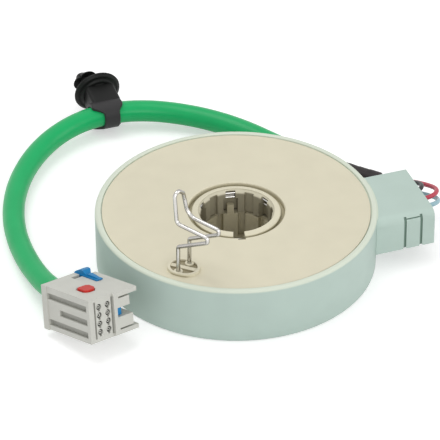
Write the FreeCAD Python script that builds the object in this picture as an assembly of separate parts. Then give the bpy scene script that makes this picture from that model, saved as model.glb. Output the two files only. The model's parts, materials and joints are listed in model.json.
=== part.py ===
import FreeCAD, Part
import math
import os

# A steering angle sensor: a flat round housing with a side box, a rotor disc and a hub that turn in it,
# a formed wire that the steering shaft pushes, and a short sleeved cable with a clip and a plug.
# Millimetres. The origin is on the bore's axis at the housing's flat underside, +Z is up towards the
# rotor disc, and +X runs from the axis towards the side box.

# Housing
HOUSING_R = 47.5
HOUSING_H = 20.5
RIM_WIDTH = 2.0
RIM_ROUND = 0.95
FOOT_ROUND = 0.8
DRAFT = 0.25
FLOOR_T = 1.8
LEDGE_WIDTH = 1.4
TUBE_WALL = 2.0
TUBE_TOP = 8.0

# Shaft bore and the lower rotor that has it
BORE_R = 12.0
LOWER_WALL = 2.6
LOWER_FOOT = 0.0
RING_H = 1.0
KEY_TOP = 10.4
KEY_SLOTS = 10
KEY_SLOT_W = 2.6
KEY_SLOT_DEPTH = 1.6
KEY_SLOT_ANGLE = 61.0
TAB_ANGLE = 79.0
TAB_W = 2.3
TAB_TOP = 13.7
FLANGE_R = 24.0
FLANGE_T = 1.2

# Upper rotor: the disc, its collar and the boss of the wire
RUN_GAP = 0.35
LIFT_GAP = 0.3
DISC_RECESS = 0.4
DISC_T = 2.0
COLLAR_R = 14.8
COLLAR_BORE_R = 12.05
GROOVE_W = 1.6
GROOVE_DEPTH = 2.2
WEB_T = 1.6
LIP_DROP = 0.3
LIP_ROUND = 0.4
COLLAR_CHAMFER_W = 0.8
COLLAR_CHAMFER_H = 1.2
COLLAR_GAP = 0.5
WINDOWS = 6
WINDOW_W = 3.4
WINDOW_TOP = 19.4
WINDOW_SILL = 16.6
WINDOW_DEPTH = 2.3
PLAY_SLOT_W = 5.0
RECESS_W = 3.3
RECESS_DEPTH = 0.9
KEYWAY_ANGLE = 256.3
KEYWAY_W = 2.6
KEYWAY_R = 17.5
KEYWAY_LIP_W = 3.9
KEYWAY_WALL = 1.0
SKIRT_R = 34.0
SKIRT_T = 1.8
SKIRT_FOOT = 10.4

# Formed wire and its boss
WIRE_D = 1.35
WIRE_SPACING = 5.85
WIRE_IN = 9.2
WIRE_ANGLE = 223.1
WIRE_TURN = 31.7
WIRE_RISE = 10.5
WIRE_REACH = 12.3
WIRE_HOOK_R = 0.9
WIRE_HOOK_RISE = 6.9
WIRE_RETURN_RISE = 0.4
WIRE_UPRIGHT = 9.6
WIRE_UPRIGHT_FAR = 6.5
WIRE_BACK = 0.5
WIRE_LEAN = 1.1
WIRE_ARCH = 2.6
ARCH_SHARE = 0.62
ARCH_SHOULDER = 0.86
WIRE_SHOULDER_R = 5.0
WIRE_CROWN_R = 1.6
WIRE_BEND_R = 1.2
WIRE_ELBOW_R = 1.8
WIRE_SINK = 3.0
WIRE_HOLE_GAP = 0.05
BOSS_LONG = 5.5
BOSS_SHORT = 4.6
BOSS_TURN = -42.0
BOSS_H = 1.1
BOSS_WALL = 0.9
BOSS_BAR = 1.6
BOSS_SEAT_WALL = 0.8

# Leaf springs of the collar
LEAF_PLACES = (0, 1, 2, 4, 5)
LEAF_T = 0.3
LEAF_BOW = 1.1
LEAF_SIDE_GAP = 0.1

# Resistor board and the wipers that run on it
BOARD_Z = 6.0
BOARD_T = 1.6
BOARD_GAP = 0.3
SHELF_W = 1.6
WIPER_T = 0.3
WIPER_GAP = 0.1
WIPER_W = 4.0
WIPER_FINGERS = 3
WIPER_LONG = 9.0
LOWER_WIPER_R = 21.0

# Side box
BOX_SINK = 7.5
BOX_REACH = 15.3
BOX_NEAR = -22.8
BOX_FAR = 3.7
BOX_BOTTOM = 6.6
BOX_TOP = 19.9
BOX_WALL = 1.5
BOX_EDGE = 3.0
COVER_GAP = 0.1
SKIN_INSET = 0.8
TONGUE_W = 5.8
TONGUE_IN = 4.8
TONGUE_SLOT = 0.9
TONGUE_NOTCH = 1.2
TONGUE_GROOVE = 0.45
WIRE_WAY_W = 14.0
WIRE_WAY_H = 4.4

# Leads, terminal pins, tape and sleeve
LEAD_D = 1.6
LEAD_PITCH = 4.2
LEAD_Y = -6.3
LEAD_Z = 13.2
LEAD_IN = 8.2
LEAD_HOLE_GAP = 0.15
LEAD_STRAIGHT = 7.3
PIN_SIDE = 0.8
PIN_IN = 4.1
SLEEVE_D = 7.6
TAPE_D = 7.0

# Cable clip
CLIP_ALONG = 132.6
CLIP_LEAN = FreeCAD.Vector(-0.205, 0.965, 0.17)
BAND_T = 1.2
BAND_W = 5.2
BAND_TOP_W = 10.2
BAND_TAPER_FROM = 2.4
BAND_TAPER_TO = -2.8
SADDLE_LONG = 10.4
SADDLE_WIDE = 8.8
SADDLE_ROUND = 1.2
UMBRELLA_R = 8.3
UMBRELLA_T = 1.0
UMBRELLA_AT = 10.4
UMBRELLA_HUB_R = 3.0
UMBRELLA_DEPTH = 1.8
TREE_CORE_R = 1.8
TREE_FIN_R = 3.5
TREE_FINS = 4
TREE_PITCH = 2.7
TREE_SLOT = 1.2
TREE_SLOT_TURN = 48.0

# Plug
PLUG_AT = FreeCAD.Vector(-74.0, -18.9, 2.75)
PLUG_YAW = -67.3
PLUG_PITCH = -13.4
PLUG_ROLL = -7.3
PLUG_L = 24.0
PLUG_W = 10.3
PLUG_H = 15.2
PLUG_BACK_T = 2.6
WING_W = 9.4
WING_BACK = 4.0
WING_PROUD = 0.8
WING_LIFT = 0.3
WING_DROP = 0.3
BACK_PROUD = 0.35
BACK_WING = 4.4
BACK_FOOT = 0.2
CHANNEL_DEPTH = 1.2
CHANNEL_H = 2.2
CHANNEL_LEVELS = (0.18, 0.47, 0.78)
CHANNEL_STARTS = (2.6, 8.5, 2.6)
CHANNEL_STOP = 1.4
WING_GAP_FROM = 6.3
WING_GAP_TO = 9.6
WING_GAP_LONG = 9.0
WING_GAP_ROOT = 1.0
WING_PLATE_T = 1.5
WING_REAR_T = 1.5
WING_UPPER_W = 6.2
WING_LOWER_W = 7.3
KEY_LONG = 4.5
KEY_WIDE = 2.0
KEY_IN = 2.5
KEY_GAP = 0.1
WING_SLOT_H = 0.6
WING_SLOT_LONG = 5.0
WING_SLOT_ROOT = 1.6
CAVITY_COLUMNS = 2
CAVITY_ROWS = 4
CAVITY_PITCH_Y = 3.6
CAVITY_PITCH_Z = 2.9
CAVITY_R = 1.05
CAVITY_SIDEWAYS = 0.85
CAVITY_KEY_W = 0.8
CAVITY_KEY_H = 0.5
CAVITY_DEPTH = 9.0
CONTACT_SIDE = 1.4
FACE_SLOT = 0.7
FACE_SLOT_DEPTH = 6.0
RED_LONG = 6.2
RED_WIDE = 5.0
RED_AT_X = 14.8
RED_AT_Y = 6.6
LOCK_GAP = 0.15
LOCK_DEPTH = 3.0
RED_CORNER = 1.5
RED_PROUD = 0.25
BLUE_W = 2.6
BLUE_FROM = -0.4
BLUE_TO = 11.4
BLUE_AT_Y = 15.4
BLUE_PROUD = 1.6

# The cable's route, as chosen by hand: sleeve, tape and leads, in the order in which they follow
SLEEVE_ROUTE = [
    (-65.68, -15.49, 10.71),
    (-67.9, -3.89, 7.65),
    (-68.73, 8.2, 5.71),
    (-68.64, 20.6, 4.56),
    (-67.5, 32.79, 4.07),
    (-64.83, 44.81, 4.05),
    (-60.44, 56.18, 4.29),
    (-54.18, 66.91, 4.71),
    (-46.11, 76.36, 5.38),
    (-36.34, 83.73, 6.27),
    (-25.16, 88.23, 6.95),
    (-13.17, 89.57, 6.97),
    (-1.27, 87.64, 6.29),
    (10.07, 82.39, 5.45),
    (19.8, 74.71, 4.97),
    (27.78, 65.27, 4.68),
    (34.33, 54.82, 4.28),
    (40.76, 44.14, 3.9),
    (48.5, 34.5, 3.9),
]
TAPE_ROUTE = [
    SLEEVE_ROUTE[-1],
    (54.6, 26.9, 4.0),
    (60.0, 20.6, 4.3),
]
LEAD_STARTS = {"lead_black": (-1.2, 0.8), "lead_red": (1.4, 0.9), "lead_blue": (0.2, -1.5)}
LEAD_ROUTES = {
    "lead_black": [(63.7, 14.2, 7.4), (67.2, 8.4, 10.4), (68.6, 3.4, 12.6), (67.6, 0.1, 13.5),
                   (65.2, -1.9, 13.6)],
    "lead_red": [(67.0, 14.6, 7.2), (71.5, 6.2, 9.9), (72.8, -2.2, 12.9), (69.0, -6.4, 13.5)],
    "lead_blue": [(66.4, 13.2, 4.3), (70.6, 5.0, 6.8), (72.3, -4.6, 10.6), (68.4, -10.4, 13.1)],
}

# Sizes that follow from the ones above
DISC_TOP = HOUSING_H - DISC_RECESS
DISC_R = HOUSING_R - RIM_WIDTH - RUN_GAP
WIRE_R = HOUSING_R - WIRE_IN
COLLAR_TOP = DISC_TOP - LIP_DROP
LEDGE_Z = DISC_TOP - DISC_T - LIFT_GAP
CUP_R = HOUSING_R - RIM_WIDTH - LEDGE_WIDTH
SLEEVE_R = BORE_R + LOWER_WALL
TUBE_R = SLEEVE_R + RUN_GAP
TUBE_OUT = TUBE_R + TUBE_WALL
BOARD_TOP = BOARD_Z + BOARD_T
FLANGE_Z = TUBE_TOP + RUN_GAP
WIPER_FOOT = BOARD_TOP + WIPER_GAP
BOX_ROOT = HOUSING_R - BOX_SINK
BOX_END = HOUSING_R + BOX_REACH
LEAD_END = BOX_END - LEAD_IN
PIN_X = CUP_R - PIN_IN
Z_AXIS = FreeCAD.Vector(0, 0, 1)
ZERO = FreeCAD.Vector(0, 0, 0)


def vec(x, y, z=0.0):
    return FreeCAD.Vector(x, y, z)


def block(x0, x1, y0, y1, z0, z1):
    return Part.makeBox(x1 - x0, y1 - y0, z1 - z0, vec(x0, y0, z0))


def bar(radius, z0, z1, x=0.0, y=0.0):
    return Part.makeCylinder(radius, z1 - z0, vec(x, y, z0))


def ring(r_in, r_out, z0, z1):
    return bar(r_out, z0, z1).cut(bar(r_in, z0 - 1.0, z1 + 1.0))


def turned(shape, degrees):
    """A copy of the shape, turned about the bore's axis."""
    copy = shape.copy()
    copy.rotate(ZERO, Z_AXIS, degrees)
    return copy


def outline(corners):
    """A closed wire through corners (a, b, radius) in the XY plane, rounded where radius isn't 0."""
    count = len(corners)
    starts, ends, middles = [], [], []
    for i in range(count):
        here = vec(*corners[i][:2])
        before = (vec(*corners[i - 1][:2]) - here).normalize()
        after = (vec(*corners[(i + 1) % count][:2]) - here).normalize()
        radius = corners[i][2]
        half = before.getAngle(after) / 2
        reach = radius / math.tan(half)
        inward = (before + after).normalize() if radius else vec(0, 0)
        starts.append(here + before * reach)
        ends.append(here + after * reach)
        middles.append(here + inward * (radius / math.sin(half) - radius))
    edges = []
    for i in range(count):
        if corners[i][2]:
            edges.append(Part.Arc(starts[i], middles[i], ends[i]).toShape())
        following = starts[(i + 1) % count]
        if (following - ends[i]).Length > 1e-6:
            edges.append(Part.LineSegment(ends[i], following).toShape())
    return Part.Wire(edges)


def prism(corners, z0, z1):
    """The outline raised from z0 to z1."""
    face = Part.Face(outline(corners))
    face.translate(vec(0, 0, z0))
    return face.extrude(vec(0, 0, z1 - z0))


def revolved(corners):
    """The outline read as (radius, height), turned once round the Z axis."""
    face = Part.Face(outline(corners))
    face.rotate(ZERO, vec(1, 0, 0), 90)
    return face.revolve(ZERO, Z_AXIS, 360)


def united(shapes):
    first, rest = shapes[0], shapes[1:]
    return first.multiFuse(rest).removeSplitter() if rest else first


def strip(points, thickness, width):
    """A bent strip: points are its middle line in (x, z), and it is width wide, centred on y = 0."""
    left, right = [], []
    for i, (x, z) in enumerate(points):
        before = points[max(i - 1, 0)]
        after = points[min(i + 1, len(points) - 1)]
        along = vec(after[0] - before[0], after[1] - before[1]).normalize()
        side = vec(-along.y, along.x) * (thickness / 2)
        left.append((x + side.x, z + side.y, 0))
        right.append((x - side.x, z - side.y, 0))
    face = Part.Face(outline(left + right[::-1]))
    face.rotate(ZERO, vec(1, 0, 0), 90)
    face.translate(vec(0, width / 2, 0))
    return face.extrude(vec(0, -width, 0))


def path_of(points, radii):
    """Straight runs through the points, joined by tangent arcs of the given radii at the inner points."""
    edges = []
    at = points[0]
    for before, here, after, radius in zip(points, points[1:], points[2:], radii):
        back = (before - here).normalize()
        on = (after - here).normalize()
        half = back.getAngle(on) / 2
        reach = radius / math.tan(half)
        start, end = here + back * reach, here + on * reach
        middle = here + (back + on).normalize() * (radius / math.sin(half) - radius)
        edges.append(Part.LineSegment(at, start).toShape())
        edges.append(Part.Arc(start, middle, end).toShape())
        at = end
    edges.append(Part.LineSegment(at, points[-1]).toShape())
    return Part.Wire(edges)


def swept(path, radius):
    """A round bar of that radius along a path."""
    first = path.Edges[0]
    start = first.valueAt(first.FirstParameter)
    along = first.tangentAt(first.FirstParameter)
    circle = Part.Wire([Part.makeCircle(radius, start, along)])
    return path.makePipeShell([circle], True, False)


def free_radii(points):
    """The arc at each inner point of a free cord: as large as its two runs allow."""
    radii = []
    for before, here, after in zip(points, points[1:], points[2:]):
        back, on = before - here, after - here
        shorter = min(back.Length, on.Length)
        half_turn = (math.pi - back.getAngle(on)) / 2
        radii.append(0.45 * shorter / math.tan(half_turn))
    return radii


def free_path(route):
    """The middle line of a free cord through its route's points."""
    points = [vec(*p) for p in route]
    return path_of(points, free_radii(points))


def cord(name, route, diameter):
    """A free cord's tube, with its tightest arc and its volume against section times length printed."""
    path = free_path(route)
    solid = swept(path, diameter / 2)
    ratio = solid.Volume / (math.pi * (diameter / 2) ** 2 * path.Length)
    tightest = min(free_radii([vec(*p) for p in route]))
    print(f"{name}: length {path.Length:.1f}, tightest arc {tightest / diameter:.1f} diameters, "
          f"volume ratio {ratio:.4f}")
    return solid


def lead_y(index):
    return LEAD_Y + (1 - index) * LEAD_PITCH


def lead_route(index, name):
    """A lead's way from the end face of the tape to the pin inside the side box."""
    before, end = (vec(*p) for p in TAPE_ROUTE[-2:])
    along = (end - before).normalize()
    side = along.cross(Z_AXIS).normalize() * -1
    up = along.cross(side)
    across, lift = LEAD_STARTS[name]
    start = end + side * across + up * lift
    inside = [(LEAD_END + LEAD_STRAIGHT, lead_y(index), LEAD_Z), (LEAD_END, lead_y(index), LEAD_Z)]
    return [tuple(start)] + LEAD_ROUTES[name] + inside


def cup_outside(cavity):
    """The outer form of the cup, with the given inner corners (radius, height) from rim to bore."""
    return revolved([
        (HOUSING_R - DRAFT, 0, FOOT_ROUND), (HOUSING_R, HOUSING_H - 3.0, 0),
        (HOUSING_R, HOUSING_H, RIM_ROUND),
    ] + cavity)


def make_housing():
    """The cup with its bearing tube and board shelves, and the way through its wall to the side box."""
    cup = cup_outside([
        (HOUSING_R - RIM_WIDTH, HOUSING_H, 0), (HOUSING_R - RIM_WIDTH, LEDGE_Z, 0), (CUP_R, LEDGE_Z, 0),
        (CUP_R, BOARD_Z, 0), (CUP_R - SHELF_W, BOARD_Z, 0), (CUP_R - SHELF_W, FLOOR_T, 0),
        (TUBE_OUT + SHELF_W, FLOOR_T, 0), (TUBE_OUT + SHELF_W, BOARD_Z, 0), (TUBE_OUT, BOARD_Z, 0),
        (TUBE_OUT, TUBE_TOP, 0), (TUBE_R, TUBE_TOP, 0), (TUBE_R, 0, 0),
    ])
    return cup.cut(block(BOX_ROOT, HOUSING_R + 1.0, LEAD_Y - WIRE_WAY_W / 2, LEAD_Y + WIRE_WAY_W / 2,
                         LEAD_Z - WIRE_WAY_H / 2, LEAD_Z + WIRE_WAY_H / 2))


def make_box_tray():
    """The open tray of the side box, which stands on the cup's wall and has the holes of the leads."""
    near = BOX_NEAR + SKIN_INSET
    tray = block(BOX_ROOT, BOX_END, near, BOX_FAR, BOX_BOTTOM, BOX_TOP - BOX_WALL - COVER_GAP)
    wall = BOX_END - BOX_WALL
    inside = block(BOX_ROOT, wall, near + BOX_WALL, BOX_FAR - BOX_WALL, BOX_BOTTOM + BOX_WALL, BOX_TOP)
    edge = block(BOX_ROOT, wall, BOX_NEAR, near + BOX_WALL + COVER_GAP, BOX_TOP - BOX_EDGE, BOX_TOP)
    hole_r = LEAD_D / 2 + LEAD_HOLE_GAP
    holes = [Part.makeCylinder(hole_r, BOX_WALL, vec(wall, lead_y(i), LEAD_Z), vec(1, 0, 0))
             for i in range(len(LEAD_ROUTES))]
    cup = cup_outside([(0, HOUSING_H, 0), (0, 0, 0)])
    return tray.cut(Part.makeCompound([inside, edge] + holes)).cut(cup)


def make_box_cover():
    """The side box's lid: top, near side with its rounded edge, and the snap tongue between two slots."""
    section = [(BOX_NEAR, BOX_BOTTOM, 0), (BOX_NEAR, BOX_TOP, BOX_EDGE), (BOX_FAR, BOX_TOP, 0.6),
               (BOX_FAR, BOX_TOP - BOX_WALL, 0), (BOX_NEAR + SKIN_INSET - COVER_GAP, BOX_TOP - BOX_WALL, 1.6),
               (BOX_NEAR + SKIN_INSET - COVER_GAP, BOX_BOTTOM, 0)]
    face = Part.Face(outline(section))
    along_x = FreeCAD.Rotation(vec(0, 1, 0), vec(0, 0, 1), vec(1, 0, 0), "XYZ")
    face.Placement = FreeCAD.Placement(vec(BOX_ROOT, 0, 0), along_x)
    cover = face.extrude(vec(BOX_END - BOX_ROOT, 0, 0))
    cover = cover.cut(bar(HOUSING_R + COVER_GAP, 0, HOUSING_H + 1))
    cover = cover.cut(block(BOX_END - BOX_WALL - COVER_GAP, BOX_END + 1, BOX_NEAR + SKIN_INSET - COVER_GAP,
                            BOX_FAR, BOX_BOTTOM - 1, BOX_TOP - BOX_WALL))
    slot_top = BOX_TOP - TONGUE_SLOT
    tongue_to = BOX_END - TONGUE_IN
    tongue_from = tongue_to - TONGUE_W
    cover = cover.cut(block(tongue_from, tongue_to, BOX_NEAR - 1, BOX_NEAR + SKIN_INSET,
                            slot_top - 2 * TONGUE_GROOVE, slot_top - TONGUE_GROOVE))
    for x in (tongue_from, tongue_to):
        cover = cover.cut(block(x - TONGUE_SLOT / 2, x + TONGUE_SLOT / 2, BOX_NEAR - 1, BOX_NEAR + BOX_EDGE,
                                BOX_BOTTOM - 1, slot_top))
        notch = prism([(x - TONGUE_NOTCH, BOX_BOTTOM - 1, 0), (x + TONGUE_NOTCH, BOX_BOTTOM - 1, 0),
                       (x, BOX_BOTTOM + TONGUE_NOTCH, 0)], 0, 2 * BOX_EDGE)
        notch.rotate(ZERO, vec(1, 0, 0), 90)
        notch.translate(vec(0, BOX_NEAR + BOX_EDGE, 0))
        cover = cover.cut(notch)
    return cover


def oval(long, short, z0, z1):
    """An upright prism with two straight sides and two round ends."""
    corners = [(-long, -short, short), (long, -short, short), (long, short, short), (-long, short, short)]
    return prism(corners, z0, z1)


def boss_place():
    angle = math.radians(WIRE_ANGLE)
    return vec(WIRE_R * math.cos(angle), WIRE_R * math.sin(angle), 0)


def wire_side():
    """Half the way between the two legs of the wire, as a vector."""
    turn = math.radians(WIRE_TURN)
    return vec(math.cos(turn), math.sin(turn)) * (WIRE_SPACING / 2)


def wire_out():
    """The way in which the wire's steps reach out."""
    turn = math.radians(WIRE_TURN - 90)
    return vec(math.cos(turn), math.sin(turn))


def window_angle(index):
    """The angle of one of the collar's windows."""
    return TAB_ANGLE + index * 360 / WINDOWS


def make_upper_rotor():
    """The disc, its collar with leaf windows, the track skirt, and the boss that holds the wire."""
    collar_foot = KEY_TOP + COLLAR_GAP
    disc_hole = COLLAR_R + GROOVE_W
    web_z = DISC_TOP - DISC_T - WEB_T
    rotor = revolved([
        (COLLAR_BORE_R, collar_foot, 0), (COLLAR_R, collar_foot, 0), (COLLAR_R, web_z, 0),
        (SKIRT_R - SKIRT_T, web_z, 0), (SKIRT_R - SKIRT_T, SKIRT_FOOT, 0), (SKIRT_R, SKIRT_FOOT, 0),
        (SKIRT_R, DISC_TOP - DISC_T, 0), (DISC_R, DISC_TOP - DISC_T, 0), (DISC_R, DISC_TOP, 0),
        (disc_hole, DISC_TOP, LIP_ROUND), (disc_hole, DISC_TOP - GROOVE_DEPTH, 0),
        (COLLAR_R, DISC_TOP - GROOVE_DEPTH, 0), (COLLAR_R, COLLAR_TOP, LIP_ROUND),
        (COLLAR_BORE_R + COLLAR_CHAMFER_W, COLLAR_TOP, 0.2),
        (COLLAR_BORE_R, COLLAR_TOP - COLLAR_CHAMFER_H, 0),
    ])
    cuts = []
    for i in range(WINDOWS):
        angle = window_angle(i)
        window = block(COLLAR_BORE_R - 1, BORE_R + WINDOW_DEPTH, -WINDOW_W / 2, WINDOW_W / 2,
                       WINDOW_SILL - 0.01, WINDOW_TOP)
        play = block(COLLAR_BORE_R - 1, BORE_R + WINDOW_DEPTH, -PLAY_SLOT_W / 2, PLAY_SLOT_W / 2,
                     collar_foot - 1, WINDOW_SILL)
        recess = block(COLLAR_BORE_R - 1, BORE_R + RECESS_DEPTH, -RECESS_W / 2, RECESS_W / 2,
                       collar_foot - 1, WINDOW_TOP - 0.3)
        if i in LEAF_PLACES:
            cuts.append(turned(window, angle))
        cuts.append(turned(play, angle))
        cuts.append(turned(recess, angle + 180 / WINDOWS))
    keyway = block(COLLAR_BORE_R - 1, KEYWAY_R, -KEYWAY_W / 2, KEYWAY_W / 2, collar_foot - 1, DISC_TOP + 1)
    lip = block(COLLAR_BORE_R - 1, COLLAR_R, KEYWAY_W / 2 - KEYWAY_LIP_W, KEYWAY_W / 2,
                collar_foot - 1, DISC_TOP + 1)
    wall = ring(COLLAR_R - KEYWAY_WALL, COLLAR_R, 0, DISC_TOP - GROOVE_DEPTH)
    cuts.append(turned(keyway.fuse(lip).cut(wall), KEYWAY_ANGLE))
    rotor = rotor.cut(Part.makeCompound(cuts))
    boss = make_boss()
    return rotor.fuse(boss).cut(wire_holes()).removeSplitter()


def make_boss():
    """A raised oval with a shallow pocket and a bar across it, and a stub below the disc."""
    boss = oval(BOSS_LONG, BOSS_SHORT, DISC_TOP - DISC_T - WEB_T, DISC_TOP + BOSS_H)
    pocket = oval(BOSS_LONG - BOSS_WALL, BOSS_SHORT - BOSS_WALL, DISC_TOP + 0.2, DISC_TOP + BOSS_H + 1)
    bridge = block(-BOSS_LONG, BOSS_LONG, -BOSS_BAR / 2, BOSS_BAR / 2, DISC_TOP, DISC_TOP + BOSS_H - 0.3)
    boss = boss.cut(pocket.cut(bridge))
    boss.rotate(ZERO, Z_AXIS, BOSS_TURN)
    seats = [bar(WIRE_D / 2 + BOSS_SEAT_WALL, DISC_TOP, DISC_TOP + BOSS_H - 0.2, side.x, side.y)
             for side in (wire_side(), -wire_side())]
    boss = united([boss] + seats)
    boss.translate(boss_place())
    return boss


def wire_holes():
    """Blind holes for the two ends of the wire."""
    holes = []
    for side in (wire_side(), -wire_side()):
        at = boss_place() + side
        holes.append(bar(WIRE_D / 2 + WIRE_HOLE_GAP, DISC_TOP - WIRE_SINK, DISC_TOP + BOSS_H + 1, at.x, at.y))
    return Part.makeCompound(holes)


def wire_leg(side, upright):
    """The corners of one leg, from its end in the disc to the crown of the loop; side leads to the leg."""
    base = boss_place() + vec(0, 0, DISC_TOP)
    out = wire_out()
    hook_low = WIRE_RISE + WIRE_HOOK_RISE
    hook_high = hook_low + 2 * WIRE_HOOK_R
    elbow_z = hook_high + WIRE_RETURN_RISE
    shoulder_z = elbow_z + upright
    lean = WIRE_BACK + WIRE_LEAN
    profile = [(1, 0, -WIRE_SINK + 0.2), (1, 0, WIRE_RISE), (1, WIRE_REACH, hook_low),
               (1, WIRE_REACH, hook_high), (1, -WIRE_BACK, elbow_z), (ARCH_SHOULDER, -lean, shoulder_z),
               (ARCH_SHARE, -lean, shoulder_z + WIRE_ARCH)]
    return [base + side * share + out * reach + vec(0, 0, z) for share, reach, z in profile]


def make_spring_wire():
    """The round wire: two stepped legs side by side, joined by a loop at the top."""
    near = wire_leg(-wire_side(), WIRE_UPRIGHT)
    far = wire_leg(wire_side(), WIRE_UPRIGHT_FAR)
    hook = WIRE_HOOK_R * 0.95
    bends = [WIRE_BEND_R, hook, hook, WIRE_ELBOW_R, WIRE_SHOULDER_R, WIRE_CROWN_R]
    return swept(path_of(near + far[::-1], bends + bends[::-1]), WIRE_D / 2)


def make_lower_rotor():
    """The keyed hub: a ring that fits the shaft, slotted blocks above it, two tabs, and the wiper flange."""
    hub = revolved([
        (BORE_R, LOWER_FOOT, 0), (SLEEVE_R, LOWER_FOOT, 0), (SLEEVE_R, FLANGE_Z, 0),
        (FLANGE_R, FLANGE_Z, 0), (FLANGE_R, FLANGE_Z + FLANGE_T, 0),
        (SLEEVE_R, FLANGE_Z + FLANGE_T, 0), (SLEEVE_R, KEY_TOP, 0), (BORE_R, KEY_TOP, 0),
    ])
    slots = []
    for i in range(KEY_SLOTS):
        slot = prism([(BORE_R - 1, -KEY_SLOT_W / 2, 0), (BORE_R + KEY_SLOT_DEPTH, -KEY_SLOT_W / 2, 0.3),
                      (BORE_R + KEY_SLOT_DEPTH, KEY_SLOT_W / 2, 0.3), (BORE_R - 1, KEY_SLOT_W / 2, 0)],
                     LOWER_FOOT + RING_H, KEY_TOP + 1)
        slots.append(turned(slot, KEY_SLOT_ANGLE + i * 360 / KEY_SLOTS))
    tabs = []
    for angle in (TAB_ANGLE, TAB_ANGLE + 180):
        tab = block(BORE_R - 1, BORE_R + WINDOW_DEPTH - RUN_GAP, -TAB_W / 2, TAB_W / 2, KEY_TOP - 1, TAB_TOP)
        tabs.append(turned(tab.cut(bar(BORE_R + 0.1, 0, HOUSING_H)), angle))
    return united([hub.cut(Part.makeCompound(slots))] + tabs)


def make_leaf_spring(index):
    """A bowed leaf in a window of the collar, held by its flat back."""
    back = BORE_R + WINDOW_DEPTH - LEAF_T / 2
    low, high = WINDOW_SILL, WINDOW_TOP - 0.05
    span = high - low
    line = [(back, low + 0.05), (back, low + 0.12 * span), (back - LEAF_BOW, low + 0.3 * span),
            (back - LEAF_BOW * 1.25, low + 0.42 * span), (back - LEAF_BOW * 0.45, low + 0.58 * span),
            (back - LEAF_BOW * 0.45, low + 0.68 * span), (back - LEAF_BOW * 1.3, low + 0.85 * span),
            (back - LEAF_BOW * 0.9, high - LEAF_T / 2), (back - 0.1, high - LEAF_T / 2)]
    leaf = strip(line, LEAF_T, WINDOW_W - 2 * LEAF_SIDE_GAP)
    return turned(leaf, window_angle(index))


def make_resistor_board():
    """The ring-shaped board with the resistor tracks, which rests on two shelves of the cup."""
    board = ring(TUBE_OUT + BOARD_GAP, CUP_R - BOARD_GAP, BOARD_Z, BOARD_TOP)
    holes = [bar(PIN_SIDE * 0.71 + 0.05, BOARD_Z - 1, BOARD_TOP + 1, PIN_X, lead_y(i))
             for i in range(len(LEAD_ROUTES))]
    return board.cut(Part.makeCompound(holes))


def make_wiper(radius, top, index):
    """A sprung comb of three fingers under a rotor, with its tips just off the tracks."""
    drop = top - WIPER_FOOT
    back = top - WIPER_T / 2
    line = [(-WIPER_LONG / 2, back), (0.0, back), (WIPER_LONG * 0.3, back - drop * 0.55),
            (WIPER_LONG * 0.44, WIPER_FOOT + WIPER_T / 2), (WIPER_LONG * 0.5, WIPER_FOOT + WIPER_T)]
    comb = strip(line, WIPER_T, WIPER_W)
    pitch = WIPER_W / WIPER_FINGERS
    for i in range(1, WIPER_FINGERS):
        y = -WIPER_W / 2 + i * pitch
        comb = comb.cut(block(0.6, WIPER_LONG, y - 0.15, y + 0.15, 0, HOUSING_H))
    comb.rotate(ZERO, Z_AXIS, 90)
    comb.translate(vec(radius, 0, 0))
    return turned(comb, 35.0 + 180 * index)


def make_terminal_pin(index):
    """A bent square pin that stands in the board and reaches through the cup's wall to its lead."""
    half = PIN_SIDE / 2
    y = lead_y(index)
    upright = block(PIN_X - half, PIN_X + half, y - half, y + half, BOARD_Z - 1.0, LEAD_Z + half)
    reach = block(PIN_X - half, LEAD_END, y - half, y + half, LEAD_Z - half, LEAD_Z + half)
    return upright.fuse(reach).removeSplitter()


def clip_frame():
    """Where the clip sits on the sleeve: its Y axis is along the sleeve, its Z axis the tree's way."""
    left = CLIP_ALONG
    for edge in free_path(SLEEVE_ROUTE).Edges:
        if left <= edge.Length:
            break
        left -= edge.Length
    at = edge.getParameterByLength(left)
    along = edge.tangentAt(at)
    lean = (CLIP_LEAN - along * CLIP_LEAN.dot(along)).normalize()
    turn = FreeCAD.Rotation(along.cross(lean), along, lean, "ZXY")
    return FreeCAD.Placement(edge.valueAt(at), turn)


def make_clip_band(sleeve):
    """The strap round the sleeve, wide at the saddle and narrow at its free end."""
    shell = Part.makeCylinder(SLEEVE_D / 2 + BAND_T, BAND_TOP_W, vec(0, -BAND_TOP_W / 2, 0), vec(0, 1, 0))
    low = SLEEVE_D
    half, top_half = BAND_W / 2, BAND_TOP_W / 2
    shape = prism([(-low, -half, 0), (BAND_TAPER_TO, -half, 0), (BAND_TAPER_FROM, -top_half, 0),
                   (low, -top_half, 0), (low, top_half, 0), (BAND_TAPER_FROM, top_half, 0),
                   (BAND_TAPER_TO, half, 0), (-low, half, 0)], -low, low)
    shape.rotate(ZERO, vec(0, 1, 0), -90)
    band = shell.common(shape)
    band.Placement = clip_frame()
    return band.cut(sleeve)


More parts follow.
